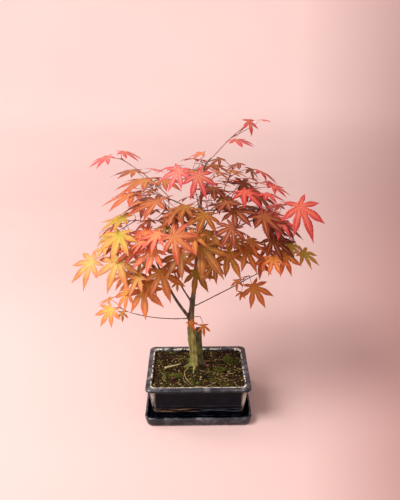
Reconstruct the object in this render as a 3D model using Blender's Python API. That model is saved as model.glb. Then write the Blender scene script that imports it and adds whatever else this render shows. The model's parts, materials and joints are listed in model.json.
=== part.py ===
"""Bonsai maple in a glazed pot that stands in its drip tray.

Metres, +Z up. The origin is the centre of the tray's flat underside, and the long front of the pot faces -Y.
The tree is drawn in its own frame, in millimetres, with height 0 at the top of the soil. place() puts it into
the pot. The wood is one solid. Each of this year's shoots, with its leaf stalks and leaves, is a solid of its own
and stops just short of the wood that it grows on.
"""

import math
import random

import bmesh
import bpy
from mathutils import Vector
from mathutils.bvhtree import BVHTree

MM = 0.001
GAP = 0.3 * MM                  # between two pieces that touch

# Pot and tray: overall sizes, walls and corners
POT_WIDTH = 0.150               # over the lip, along X
POT_DEPTH = 0.116               # over the lip, along Y
POT_HEIGHT = 0.0565             # feet to lip
POT_WALL = 0.0045
POT_FLOOR = 0.005
POT_TAPER = 0.006               # how far each side leans in, from the lip to the floor
LIP_REACH = 0.0042              # how far the lip stands out from the wall
LIP_THICKNESS = 0.0048
LIP_ROUND = 0.0014
POT_CORNER = 0.008
POT_CHAMFER = 0.002             # round the edge of the pot's underside
FOOT_HEIGHT = 0.003
FOOT_SIZE = 0.016
FOOT_INSET = 0.003              # from the edge of the pot's underside
FOOT_CORNER = 0.004
DRAIN_HOLE = 0.011              # diameter
DRAIN_SPACING = 0.056
SCREEN_SIZE = 0.020
SCREEN_THICKNESS = 0.001
SCREEN_HOLE = 0.0022            # diameter
SCREEN_CORNER = 0.002
SCREEN_PITCH = 0.20             # from the middle to each hole, as a share of the screen
TRAY_MARGIN = 0.002             # how far the tray's rim reaches past the lip, each side
TRAY_HEIGHT = 0.014
TRAY_WALL = 0.0035
TRAY_FLOOR = 0.004
TRAY_FLARE = 0.0015             # how far the tray's wall leans out
TRAY_CORNER = 0.011
TRAY_ROUND = 0.003
CORNER_STEPS = 4

# Soil
SOIL_BELOW_LIP = 0.004
SOIL_UNEVEN = 0.0007            # height of its waves
SOIL_WAVES = (95, 120, 150, 90)  # how close together they are, across and along
MOUND_HEIGHT = 0.0016           # the soil rises a little round the trunk
MOUND_PLACE = (-0.003, 0.012)
MOUND_REACH = 0.025
SOIL_COLUMNS = 16
SOIL_ROWS = 12
BURIED_BELOW = 0.012            # wood that ends lower than this above the soil is cut out of the soil
PAD_LIFT = 0.6 * MM             # what lies on the soil is this far clear of its facets
# Moss: (name, place, half sizes, height)
MOSS = (
    ("moss_front_left", (-0.031, -0.020), (0.010, 0.006), 0.0026),
    ("moss_front_right", (0.033, -0.004), (0.011, 0.006), 0.0024),
    ("moss_back_right", (0.046, 0.022), (0.008, 0.009), 0.0024),
)
# The fallen twig: (place, radius) from its broken end
FALLEN_TWIG = (((-0.0500, 0.0010), 0.0017), ((-0.0420, 0.0050), 0.0013), ((-0.0340, 0.0085), 0.0009),
               ((-0.0270, 0.0105), 0.0006))

# Tree
TREE_HEIGHT = 0.365             # soil to the topmost leaf
DRAWN_HEIGHT = 365.0            # the same height in the drawing below, millimetres
TRUNK_THICKNESS = 1.0           # share of the drawn trunk and branch thickness
LEAF_SIZE = 1.0                 # share of the drawn leaf size
BLADE_HALF_THICKNESS = 0.45 * MM
STALK_RADIUS = 0.50 * MM
SHOOT_RADIUS = 0.72 * MM
STALK_STEPS = 2
STALK_CORNERS = (45, 135, 225, 315)     # a stalk is four-sided, degrees round it
STALK_LENGTH = 26.0             # drawn, for leaves that follow the rule
LEAF_SHARE = 0.42               # how much of a shoot carries leaves, back from its tip
LEAF_CLEARANCE = 0.5 * MM      # kept between a leaf and whatever is near it
TRIES = 400                     # places tried for a leaf that would grow through another
TRIES_PER_STEP = 60             # tries after which it may go one LOOSE_STEP further
LOOSE_STEP = 0.006
LOOSE_TILT = 14                 # degrees, at one step
LOOSE_HEADING = 22

GLAZE = (0.018, 0.024, 0.045)
SCREEN_BLACK = (0.02, 0.02, 0.02)
SOIL_BROWN = (0.075, 0.045, 0.02)
MOSS_GREEN = (0.09, 0.12, 0.02)
BARK = (0.22, 0.20, 0.10)
TWIG_PALE = (0.55, 0.48, 0.26)
LEAF_RED = (0.55, 0.09, 0.05)
LEAF_ORANGE = (0.68, 0.24, 0.07)
LEAF_BROWN = (0.36, 0.10, 0.04)
LEAF_YELLOW = (0.66, 0.44, 0.12)

# The wood, as points (x, y, height) in the drawing with a radius at each, or one radius for each end.
# The leader is the old trunk's left stem, which went on growing when the right one was cut.
LEADER = [
    ((-3, 12, -12), 9.0), ((-4, 12, 2), 8.4), ((-5.5, 12, 20), 7.2), ((-8, 11, 36), 6.5),
    ((-9.5, 10, 50), 6.1), ((-10, 9, 66), 5.5), ((-9.5, 8, 90), 4.6), ((-7.5, 8, 110), 3.9),
    ((-5, 8, 131), 3.3), ((-2.5, 5, 168), 2.8), ((0, 1, 207), 2.4), ((3, 0, 242), 2.1),
    ((5, 1, 276), 1.7), ((8, 5, 306), 1.3), ((19, 8, 318), 1.0),
]
STUMP = [((3, 13, -12), 8.0), ((3, 13, 2), 6.9), ((1.5, 12, 30), 5.7), ((1, 11, 50), 5.4), ((1.2, 10, 65), 5.3)]
ROOTS = {
    "root_left": [((-5, 11, 7), 4.4), ((-14, 8, 1.5), 3.2), ((-22, 6, -1.5), 2.2), ((-31, 4, -6), 1.2)],
    "root_front": [((-4, 9, 6), 4.0), ((-6, 0, 0.5), 2.4), ((-7, -11, -0.2), 1.2), ((-7, -22, -2.6), 0.8)],
    "root_right": [((2, 11, 6), 4.2), ((11, 9, 0.5), 3.0), ((21, 8, -5), 1.6)],
    "root_back": [((1, 15, 6), 4.2), ((4, 24, 0.5), 2.8), ((8, 34, -5), 1.6)],
    "root_back_left": [((-6, 15, 6), 4.0), ((-13, 22, 0.5), 2.8), ((-20, 30, -5), 1.6)],
}
BRANCHES = {
    "low_left": ([(-10, 8, 80), (-17, 4, 84), (-34, -4, 88), (-58, -15, 96), (-78, -26, 106),
                  (-94, -35, 116)], 1.2, 0.8),
    "left_main": ([(-9.5, 8, 80), (-17, 4, 92), (-28, -5, 114), (-37, -15, 137), (-47, -28, 167),
                   (-54, -40, 192), (-56, -50, 210)], 3.0, 1.0),
    "left_fork": ([(-39, -18, 143), (-58, -28, 158), (-80, -34, 172)], 1.3, 0.8),
    "left_out": ([(-47, -28, 167), (-68, -24, 186), (-88, -26, 203), (-100, -30, 212)], 1.3, 0.8),
    "left_second": ([(-7.5, 8, 106), (-24, 15, 131), (-35, 20, 153), (-45, 20, 166), (-62, 15, 182),
                     (-80, 14, 200)], 1.7, 0.8),
    "second_twig": ([(-35, 20, 153), (-33, 24, 168), (-38, 32, 184)], 1.1, 0.8),
    "right_low": ([(-6.5, 7, 103), (-1, 4, 106), (21, -5, 123), (48, -20, 146), (65, -30, 162),
                   (81, -38, 175), (92, -42, 182)], 1.3, 0.8),
    "right_mid": ([(-2.5, 5, 166), (18, 8, 190), (37, 10, 208), (52, 14, 218), (75, 10, 232),
                   (98, 2, 244)], 2.0, 0.9),
    "right_out": ([(75, 10, 232), (98, -8, 228), (120, -16, 216)], 1.1, 0.8),
    "right_front": ([(-0.5, 2, 196), (20, -16, 208), (42, -30, 214), (62, -38, 212)], 1.7, 0.8),
    "front_mid": ([(1, 1, 216), (0, -20, 228), (-8, -42, 238), (-16, -60, 242)], 1.6, 0.8),
    "back_left": ([(-1, 3, 185), (-15, 32, 208), (-34, 60, 226), (-52, 84, 238)], 1.9, 0.8),
    "back_right": ([(0, 1, 205), (18, 36, 228), (38, 66, 244), (56, 88, 252)], 1.8, 0.8),
    "back_mid": ([(3, 0, 238), (0, 34, 256), (-6, 64, 268)], 1.5, 0.8),
    "left_high": ([(2, 0, 226), (-22, -8, 237), (-46, -16, 241), (-70, -22, 242)], 1.5, 0.8),
    "upper_left": ([(3, 0, 242), (-16, 6, 253), (-36, 14, 260), (-50, 20, 264)], 1.5, 0.9),
    "right_high": ([(3.5, 0, 248), (30, -14, 254), (62, -22, 257), (92, -24, 258)], 1.5, 0.8),
    "upper_right": ([(5, 1, 268), (24, -2, 275), (44, -8, 277), (60, -8, 276)], 1.3, 0.8),
}

# The shoots: (name, branch, share of the way along it, the shoot's tip, colour, leaves). A leaf is
# (x, y, height, middle lobe's length, tilt, heading): tilt 0 lies flat and 90 hangs, heading 0 looks to +X
# and 270 to the front. A seventh value turns the leaf on its stalk, clockwise from above. Where leaves is a
# number, that many grow in opposite pairs by rule.
SHOOTS = [
    ("trunk_leaf", "leader", 0.31, (-11, -3, 93), LEAF_ORANGE, [(-11, -9, 86, 15, 68, 262)]),
    ("stump_leaf", "leader", 0.295, (4, 1, 88), LEAF_ORANGE, [(8, -4, 77, 17, 62, 292)]),
    ("low_left_shoot", "low_left", 1.0, (-104, -40, 125), LEAF_ORANGE,
     [(-116, -48, 128, 26, 54, 250, 24), (-120, -22, 129, 22, 20, 165), (-101, -46, 122, 13, 60, 300)]),
    ("hanging_left_shoot", "left_fork", 1.0, (-88, -40, 176), LEAF_ORANGE,
     [(-72, -47, 157, 38, 54, 262, -12), (-94, -34, 145, 27, 50, 225, 20), (-76, -54, 178, 31, 34, 236, 40),
      (-96, -46, 176, 26, 36, 214)]),
    ("middle_left_shoot", "left_main", 0.78, (-44, -40, 184), LEAF_BROWN,
     [(-48, -44, 180, 38, 42, 272, -20), (-62, -50, 168, 29, 42, 248, 40), (-29, -45, 194, 30, 32, 286)]),
    ("left_star_shoot", "left_out", 1.0, (-114, -34, 208), LEAF_YELLOW,
     [(-103, -47, 197, 40, 48, 258, 14), (-139, -31, 189, 37, 42, 236, 32), (-122, -20, 206, 20, 22, 170),
      (-120, -32, 211, 24, 26, 205)]),
    ("left_green_shoot", "left_high", 1.0, (-88, -34, 246), LEAF_YELLOW,
     [(-98, -50, 234, 34, 40, 256, 5), (-95, -30, 248, 34, 14, 215, 52), (-86, -8, 250, 28, 12, 150),
      (-116, -34, 226, 18, 40, 240)]),
    ("red_middle_shoot", "left_main", 1.0, (-58, -54, 228), LEAF_RED,
     [(-55, -64, 217, 36, 34, 256, 45), (-82, -44, 210, 28, 30, 230, 40), (-64, -38, 232, 30, 20, 236, 40),
      (-74, -62, 226, 26, 24, 210)]),
    ("front_star_shoot", "front_mid", 1.0, (-22, -76, 252), LEAF_RED,
     [(-30, -87, 245, 36, 56, 278, -48), (-48, -70, 240, 28, 34, 225)]),
    ("front_low_shoot", "front_mid", 0.55, (-8, -56, 222), LEAF_BROWN,
     [(-22, -62, 211, 34, 38, 254, 25), (4, -76, 226, 42, 36, 282, -30), (-8, -78, 240, 32, 26, 262),
      (20, -62, 226, 32, 20, 305)]),
    ("trunk_star_shoot", "leader", 0.61, (0, -18, 190), LEAF_YELLOW,
     [(-3, -31, 174, 31, 52, 276, -28), (14, -34, 188, 25, 38, 315)]),
    ("right_front_shoot", "right_front", 1.0, (72, -46, 212), LEAF_BROWN,
     [(60, -54, 214, 34, 40, 288, -12), (79, -42, 192, 25, 56, 302), (88, -30, 206, 28, 36, 328),
      (66, -44, 222, 30, 16, 325)]),
    ("middle_front_shoot", "right_front", 0.5, (30, -42, 214), LEAF_BROWN,
     [(37, -60, 211, 35, 38, 284, -20), (20, -62, 198, 26, 52, 264), (14, -52, 236, 32, 24, 296),
      (42, -55, 230, 30, 12, 320)]),
    ("low_right_shoot", "right_low", 0.66, (68, -36, 170), LEAF_RED,
     [(72, -48, 160, 31, 54, 282, -24), (52, -34, 162, 15, 48, 236), (57, -42, 148, 11, 58, 262)]),
    ("right_low_end_shoot", "right_low", 1.0, (102, -45, 196), LEAF_ORANGE,
     [(109, -48, 203, 28, 54, 284, -20), (94, -58, 204, 26, 42, 270), (84, -50, 200, 20, 50, 262)]),
    ("right_green_shoot", "right_out", 1.0, (130, -20, 208), LEAF_ORANGE,
     [(138, -27, 198, 27, 34, 308, -35), (118, -34, 214, 27, 38, 300)]),
    ("right_dark_shoot", "right_mid", 1.0, (106, -10, 244), LEAF_BROWN,
     [(94, -42, 224, 38, 34, 300, -35), (112, -20, 236, 32, 28, 328), (96, 26, 244, 28, 20, 40),
      (73, -30, 252, 36, 18, 306), (92, -36, 238, 33, 24, 320)]),
    ("right_star_shoot", "right_high", 1.0, (112, -28, 266), LEAF_RED,
     [(127, -38, 266, 43, 54, 288, -14), (118, -16, 262, 26, 20, 20), (100, -48, 252, 31, 32, 292),
      (108, -12, 262, 28, 12, 190), (88, -28, 256, 34, 12, 335)]),
    ("dark_front_shoot", "right_high", 0.62, (62, -36, 262), LEAF_BROWN,
     [(79, -54, 258, 36, 24, 296, -30), (46, -46, 262, 34, 22, 268), (41, -66, 248, 30, 44, 274),
      (36, -40, 272, 28, 14, 200)]),
    ("centre_shoot", "leader", 0.83, (2, -24, 266), LEAF_BROWN,
     [(8, -52, 260, 33, 26, 284, 30), (-12, -34, 260, 30, 22, 236), (30, -24, 272, 32, 12, 325),
      (-16, -44, 268, 26, 18, 250)]),
    ("big_brown_shoot", "upper_left", 0.62, (-46, -6, 268), LEAF_ORANGE,
     [(-52, -24, 268, 54, 12, 200, 34), (-26, -44, 268, 30, 24, 262, -30), (-35, -34, 258, 28, 22, 300)]),
    ("salmon_shoot", "upper_left", 1.0, (-66, 14, 278), LEAF_ORANGE,
     [(-84, -4, 272, 44, 5, 196, 10), (-66, 8, 288, 46, 5, 204, 22), (-80, 32, 292, 33, 4, 176, 0),
      (-46, 22, 284, 30, 6, 320)]),
    ("top_left_shoot", "upper_left", 0.80, (-103, 32, 312), LEAF_RED,
     [(-119, 30, 314, 28, 16, 202, 5), (-101, 38, 319, 28, 10, 345, -28), (-62, 44, 294, 22, 10, 25)]),
    ("top_shoot", "leader", 1.0, (62, 20, 356), LEAF_RED,
     [(49, 20, 338, 29, 5, 325, 0), (66, 18, 363, 19, 50, 300), (84, 30, 362, 15, 4, 0)]),
    ("top_middle_shoot", "leader", 0.955, (4, 10, 316), LEAF_BROWN,
     [(7, 24, 320, 23, 12, 210), (-4, 6, 302, 25, 6, 200), (22, 16, 306, 23, 12, 330)]),
    ("drooping_pink_shoot", "leader", 0.93, (-8, -10, 306), LEAF_RED,
     [(-24, -12, 306, 29, 46, 252, 20), (-1, -24, 303, 31, 56, 276, -20)]),
    ("right_upper_shoot", "upper_right", 0.55, (46, 2, 306), LEAF_BROWN,
     [(29, 8, 316, 20, 18, 220), (54, -2, 311, 22, 10, 196), (68, 2, 304, 17, 36, 332),
      (38, 14, 288, 18, 16, 60)]),
    ("right_top_star_shoot", "upper_right", 1.0, (72, -8, 284), LEAF_RED,
     [(58, -20, 280, 34, 16, 282, -30), (99, 8, 279, 26, 14, 345), (80, 14, 282, 20, 12, 60),
      (86, -18, 274, 26, 14, 325)]),
    ("inner_right_shoot", "upper_right", 0.30, (20, 8, 284), LEAF_BROWN,
     [(20, -8, 280, 34, 10, 310), (36, 26, 282, 28, 8, 70), (4, 28, 284, 28, 10, 120),
      (26, -18, 274, 38, 5, 350)]),
    ("inner_green_shoot", "left_high", 0.5, (-42, -26, 246), LEAF_YELLOW,
     [(-40, -36, 242, 25, 38, 258), (-56, 2, 248, 27, 14, 150), (-30, -20, 250, 24, 14, 300)]),
    ("small_green_shoot", "left_second", 0.36, (-28, 6, 146), LEAF_YELLOW,
     [(-29, 0, 144, 14, 46, 280), (-42, 2, 140, 13, 40, 210)]),
    ("left_inner_shoot", "left_out", 0.35, (-64, -12, 192), LEAF_YELLOW,
     [(-68, -18, 182, 20, 44, 262), (-78, 0, 200, 26, 18, 150), (-76, -32, 190, 22, 30, 235)]),
    ("left_second_end_shoot", "left_second", 1.0, (-98, 14, 212), LEAF_ORANGE, 5),
    ("left_second_side_shoot", "left_second", 0.72, (-62, 36, 192), LEAF_ORANGE, 4),
    ("twig_shoot", "second_twig", 1.0, (-44, 46, 202), LEAF_BROWN, 4),
    ("back_left_end_shoot", "back_left", 1.0, (-72, 108, 248), LEAF_RED, 5),
    ("back_left_side_shoot", "back_left", 0.62, (-58, 50, 244), LEAF_ORANGE, 4),
    ("back_left_low_shoot", "back_left", 0.40, (-14, 58, 204), LEAF_BROWN, 4),
    ("back_right_end_shoot", "back_right", 1.0, (78, 110, 258), LEAF_RED, 5),
    ("back_right_side_shoot", "back_right", 0.62, (64, 56, 252), LEAF_BROWN, 4),
    ("back_right_low_shoot", "back_right", 0.42, (12, 70, 240), LEAF_BROWN, 4),
    ("back_middle_end_shoot", "back_mid", 1.0, (-10, 92, 280), LEAF_RED, 5),
    ("back_middle_side_shoot", "back_mid", 0.55, (24, 52, 282), LEAF_RED, 4),
    ("right_mid_side_shoot", "right_mid", 0.62, (64, 40, 228), LEAF_BROWN, 4),
    ("right_mid_low_shoot", "right_mid", 0.34, (38, 28, 192), LEAF_BROWN, 4),
]

LOBES = ((0, 1.0), (40, 0.93), (80, 0.74), (126, 0.50))       # angle from the middle lobe, length
SMALL_LOBES = ((0, 1.0), (48, 0.86), (102, 0.52))
SMALL_LEAF = 26.0               # drawn: a leaf with a shorter middle lobe has five lobes, not seven
SINUS = 0.26                    # how near the cuts between lobes come to the middle
NOTCH = 0.10                    # the same where the stalk joins
LOBE_SHOULDER = 0.50            # where a lobe is widest, as a share of its length
LOBE_HALF_WIDTH = 0.125
CUP = 0.08                      # how far the lobes bend back, and how far they sag
SAG = 0.07
TURN_SPREAD = 42                # how far a leaf may turn on its stalk, where the drawing gives no turn
PAIR_STEP = 1.6                 # drawn distance between the two stalks of a pair


# ---------------------------------------------------------------- helpers

def clear_scene():
    for obj in list(bpy.data.objects):
        bpy.data.objects.remove(obj, do_unlink=True)


def material(name, colour, roughness):
    """A Principled material, shared by every piece that asks for the same name."""
    found = bpy.data.materials.get(name)
    if found:
        return found
    mat = bpy.data.materials.new(name)
    mat.use_nodes = True
    shader = mat.node_tree.nodes["Principled BSDF"]
    shader.inputs["Base Color"].default_value = (*colour, 1.0)
    shader.inputs["Roughness"].default_value = roughness
    shader.inputs["Metallic"].default_value = 0.0
    return mat


def object_from(name, bm, mat=None):
    mesh = bpy.data.meshes.new(name)
    bm.to_mesh(mesh)
    bm.free()
    obj = bpy.data.objects.new(name, mesh)
    bpy.context.scene.collection.objects.link(obj)
    if mat:
        mesh.materials.append(mat)
    return obj


def finish(obj, mat, smooth_angle=40):
    obj.data.materials.clear()
    obj.data.materials.append(mat)
    obj.data.shade_smooth()
    obj.data.set_sharp_from_angle(angle=math.radians(smooth_angle))
    return obj


def boolean(base, others, operation):
    """Join or cut with the exact solver, apply the result to base and drop the other objects."""
    for other in others:
        step = base.modifiers.new(operation.lower(), "BOOLEAN")
        step.operation = operation
        step.solver = "EXACT"
        step.object = other
    graph = bpy.context.evaluated_depsgraph_get()
    result = bpy.data.meshes.new_from_object(base.evaluated_get(graph))
    base.modifiers.clear()
    base.data = result
    for other in others:
        bpy.data.objects.remove(other, do_unlink=True)
    return base


def rounded_ring(half_x, half_y, radius, z):
    """Points round a rectangle with arcs at its corners, anticlockwise from the +X +Y corner."""
    points = []
    for corner, (sx, sy) in enumerate(((1, 1), (-1, 1), (-1, -1), (1, -1))):
        centre = Vector((sx * (half_x - radius), sy * (half_y - radius), z))
        for step in range(CORNER_STEPS + 1):
            angle = math.radians(90 * (corner + step / CORNER_STEPS))
            points.append(centre + Vector((math.cos(angle), math.sin(angle), 0)) * radius)
    return points


def loft(rings):
    """A closed body through rings of the same number of points, with a flat face at each end."""
    bm = bmesh.new()
    loops = [[bm.verts.new(p) for p in ring] for ring in rings]
    count = len(loops[0])
    for low, high in zip(loops, loops[1:]):
        for i in range(count):
            j = (i + 1) % count
            bm.faces.new((low[i], low[j], high[j], high[i]))
    bm.faces.new(reversed(loops[0]))
    bm.faces.new(loops[-1])
    bmesh.ops.recalc_face_normals(bm, faces=bm.faces)
    return bm


def smooth_path(points, radii, steps):
    """A Catmull-Rom curve through the points, with the radius carried along."""
    path = []
    last = len(points) - 1
    for i in range(last):
        a, b = points[max(i - 1, 0)], points[i]
        c, d = points[i + 1], points[min(i + 2, last)]
        for step in range(steps):
            t = step / steps
            place = 0.5 * ((2 * b) + (c - a) * t + (2 * a - 5 * b + 4 * c - d) * t * t
                           + (3 * b - a - 3 * c + d) * t ** 3)
            path.append((place, radii[i] + (radii[i + 1] - radii[i]) * t))
    path.append((points[-1], radii[-1]))
    return path


def tube(path, sides, extra=0.0):
    """A closed round tube along a path of (place, radius). Each ring is turned as little as possible."""
    bm = bmesh.new()
    rings = []
    side = None
    for i, (place, radius) in enumerate(path):
        ahead = path[min(i + 1, len(path) - 1)][0] - path[max(i - 1, 0)][0]
        ahead.normalize()
        if side is None:
            side = ahead.orthogonal()
        side = (side - ahead * side.dot(ahead)).normalized()
        across = ahead.cross(side)
        ring = []
        for k in range(sides):
            angle = 2 * math.pi * (k + 0.5) / sides
            spread = side * math.cos(angle) + across * math.sin(angle)
            ring.append(bm.verts.new(place + spread * (radius + extra)))
        rings.append(ring)
    for low, high in zip(rings, rings[1:]):
        for k in range(sides):
            j = (k + 1) % sides
            bm.faces.new((low[k], low[j], high[j], high[k]))
    bm.faces.new(reversed(rings[0]))
    bm.faces.new(rings[-1])
    return bm


def tree_of(bm):
    return BVHTree.FromBMesh(bm)


# ---------------------------------------------------------------- pot, tray and screens

def pot_base_z():
    """Underside of the feet."""
    return TRAY_FLOOR + GAP


def lip_top_z():
    return pot_base_z() + POT_HEIGHT


def pot_half(share, axis_size):
    """Half the pot wall's outer size: share is 0 at the underside of the floor and 1 under the lip."""
    return axis_size / 2 - LIP_REACH - POT_TAPER * (1 - share)


def inner_half(z, axis_size):
    """Half the pot's inner size at a height: the wall leans evenly from the floor to the lip."""
    floor_z = pot_base_z() + FOOT_HEIGHT + POT_FLOOR
    share = (z - floor_z) / (lip_top_z() - LIP_ROUND - floor_z)
    return pot_half(share, axis_size) - POT_WALL


def make_tray():
    top_x = POT_WIDTH / 2 + TRAY_MARGIN
    top_y = POT_DEPTH / 2 + TRAY_MARGIN
    low_x = top_x - TRAY_FLARE
    low_y = top_y - TRAY_FLARE
    low_corner = TRAY_CORNER - TRAY_FLARE / 2
    r = TRAY_ROUND
    edge = TRAY_WALL / 3
    rings = [
        rounded_ring(low_x - r, low_y - r, low_corner, 0.0),
        rounded_ring(low_x - 0.3 * r, low_y - 0.3 * r, low_corner, 0.3 * r),
        rounded_ring(low_x, low_y, low_corner, r),
        rounded_ring(top_x, top_y, TRAY_CORNER, TRAY_HEIGHT - edge),
        rounded_ring(top_x - edge, top_y - edge, TRAY_CORNER, TRAY_HEIGHT),
        rounded_ring(top_x - TRAY_WALL + edge, top_y - TRAY_WALL + edge, TRAY_CORNER, TRAY_HEIGHT),
        rounded_ring(top_x - TRAY_WALL, top_y - TRAY_WALL, TRAY_CORNER, TRAY_HEIGHT - edge),
        rounded_ring(low_x - TRAY_WALL, low_y - TRAY_WALL, low_corner, TRAY_FLOOR + r / 2),
        rounded_ring(low_x - TRAY_WALL - r / 2, low_y - TRAY_WALL - r / 2, low_corner, TRAY_FLOOR),
    ]
    return finish(object_from("drip_tray", loft(rings)), material("glaze", GLAZE, 0.12))


def drain_places():
    return [Vector((side * DRAIN_SPACING / 2, 0, 0)) for side in (-1, 1)]


def upright(centre, radius, low, high, sides=20):
    """A plain round pillar from one height to another."""
    bm = bmesh.new()
    ring = []
    for k in range(sides):
        angle = 2 * math.pi * k / sides
        ring.append(centre + Vector((math.cos(angle), math.sin(angle), 0)) * radius)
    loops = [[bm.verts.new((p.x, p.y, z)) for p in ring] for z in (low, high)]
    for k in range(sides):
        j = (k + 1) % sides
        bm.faces.new((loops[0][k], loops[0][j], loops[1][j], loops[1][k]))
    bm.faces.new(reversed(loops[0]))
    bm.faces.new(loops[1])
    return bm


def plate_at(x, y, size, corner, low, high):
    """A square plate with rounded corners, from one height to another."""
    ring = rounded_ring(size / 2, size / 2, corner, 0)
    return loft([[p + Vector((x, y, z)) for p in ring] for z in (low, high)])


def make_pot():
    under = pot_base_z() + FOOT_HEIGHT
    top = lip_top_z()
    below_lip = top - LIP_THICKNESS
    hx = [pot_half(0, POT_WIDTH), pot_half(1, POT_WIDTH)]
    hy = [pot_half(0, POT_DEPTH), pot_half(1, POT_DEPTH)]
    lip_x = POT_WIDTH / 2
    lip_y = POT_DEPTH / 2
    e = LIP_ROUND
    rings = [
        rounded_ring(hx[0] - POT_CHAMFER, hy[0] - POT_CHAMFER, POT_CORNER, under),
        rounded_ring(hx[0], hy[0], POT_CORNER, under + POT_CHAMFER),
        rounded_ring(hx[1], hy[1], POT_CORNER, below_lip),
        rounded_ring(lip_x - e, lip_y - e, POT_CORNER, below_lip),
        rounded_ring(lip_x, lip_y, POT_CORNER, below_lip + e),
        rounded_ring(lip_x, lip_y, POT_CORNER, top - e),
        rounded_ring(lip_x - e, lip_y - e, POT_CORNER, top),
        rounded_ring(hx[1] - POT_WALL + e, hy[1] - POT_WALL + e, POT_CORNER - e, top),
        rounded_ring(hx[1] - POT_WALL, hy[1] - POT_WALL, POT_CORNER - e, top - e),
        rounded_ring(hx[0] - POT_WALL, hy[0] - POT_WALL, POT_CORNER - e, under + POT_FLOOR),
    ]
    pot = object_from("pot", loft(rings))
    feet = []
    for sx in (-1, 1):
        for sy in (-1, 1):
            x = sx * (hx[0] - FOOT_SIZE / 2 - FOOT_INSET)
            y = sy * (hy[0] - FOOT_SIZE / 2 - FOOT_INSET)
            feet.append(object_from("foot", plate_at(x, y, FOOT_SIZE, FOOT_CORNER, pot_base_z(),
                                                     under + POT_FLOOR / 2)))
    boolean(pot, feet, "UNION")
    holes = [object_from("hole", upright(p, DRAIN_HOLE / 2, 0, under + 2 * POT_FLOOR)) for p in drain_places()]
    boolean(pot, holes, "DIFFERENCE")
    return finish(pot, material("glaze", GLAZE, 0.12))


def screen_top_z():
    return pot_base_z() + FOOT_HEIGHT + POT_FLOOR + GAP + SCREEN_THICKNESS


def make_screens():
    """A square of plastic mesh over each drainage hole keeps the soil in."""
    low = screen_top_z() - SCREEN_THICKNESS
    pitch = SCREEN_SIZE * SCREEN_PITCH
    for side, spot in zip(("left", "right"), drain_places()):
        plate = plate_at(spot.x, spot.y, SCREEN_SIZE, SCREEN_CORNER, low, screen_top_z())
        screen = object_from("drainage_screen_" + side, plate)
        cutters = []
        for column in (-1, 1):
            for row in (-1, 1):
                centre = spot + Vector((column * pitch, row * pitch, 0))
                pillar = upright(centre, SCREEN_HOLE / 2, low - GAP, screen_top_z() + GAP, sides=6)
                cutters.append(object_from("cutter", pillar))
        boolean(screen, cutters, "DIFFERENCE")
        finish(screen, material("screen_plastic", SCREEN_BLACK, 0.5))


# ---------------------------------------------------------------- soil and what lies on it

def soil_top_z():
    return lip_top_z() - SOIL_BELOW_LIP


def soil_height(x, y):
    """Height of the soil at a place: a low mound under the trunk and gentle unevenness."""
    off_x, off_y = x - MOUND_PLACE[0], y - MOUND_PLACE[1]
    mound = MOUND_HEIGHT * math.exp(-(off_x ** 2 + off_y ** 2) / MOUND_REACH ** 2)
    a, b, c, d = SOIL_WAVES
    waves = math.sin(a * x + 1.3) * math.cos(b * y) + 0.6 * math.sin(c * x - d * y)
    return soil_top_z() + mound + SOIL_UNEVEN * waves


def make_soil(cutters):
    """The root ball: side walls follow the pot inside, the top is an uneven grid."""
    low_z = screen_top_z() + GAP
    corner = POT_CORNER
    bm = bmesh.new()
    top_x = inner_half(soil_top_z(), POT_WIDTH) - GAP
    top_y = inner_half(soil_top_z(), POT_DEPTH) - GAP
    grid = []
    for row in range(SOIL_ROWS + 1):
        line = []
        for column in range(SOIL_COLUMNS + 1):
            x = top_x * (2 * column / SOIL_COLUMNS - 1)
            y = top_y * (2 * row / SOIL_ROWS - 1)
            over_x = abs(x) - (top_x - corner)
            over_y = abs(y) - (top_y - corner)
            if over_x > 0 and over_y > 0 and math.hypot(over_x, over_y) > corner:
                shrink = corner / math.hypot(over_x, over_y)
                x = math.copysign(top_x - corner + over_x * shrink, x)
                y = math.copysign(top_y - corner + over_y * shrink, y)
            line.append(bm.verts.new((x, y, soil_height(x, y))))
        grid.append(line)
    for row in range(SOIL_ROWS):
        for column in range(SOIL_COLUMNS):
            near, far = grid[row], grid[row + 1]
            bm.faces.new((near[column], near[column + 1], far[column + 1], far[column]))
    rim = grid[0][:-1] + [line[-1] for line in grid[:-1]]
    rim += grid[-1][:0:-1] + [line[0] for line in grid[:0:-1]]
    low_share_x = (inner_half(low_z, POT_WIDTH) - GAP) / top_x
    low_share_y = (inner_half(low_z, POT_DEPTH) - GAP) / top_y
    low_rim = [bm.verts.new((v.co.x * low_share_x, v.co.y * low_share_y, low_z)) for v in rim]
    count = len(rim)
    for i in range(count):
        j = (i + 1) % count
        bm.faces.new((rim[j], rim[i], low_rim[i], low_rim[j]))
    bm.faces.new(reversed(low_rim))
    bmesh.ops.recalc_face_normals(bm, faces=bm.faces)
    soil = object_from("soil", bm)
    boolean(soil, cutters, "DIFFERENCE")
    return finish(soil, material("soil", SOIL_BROWN, 0.95))


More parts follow.
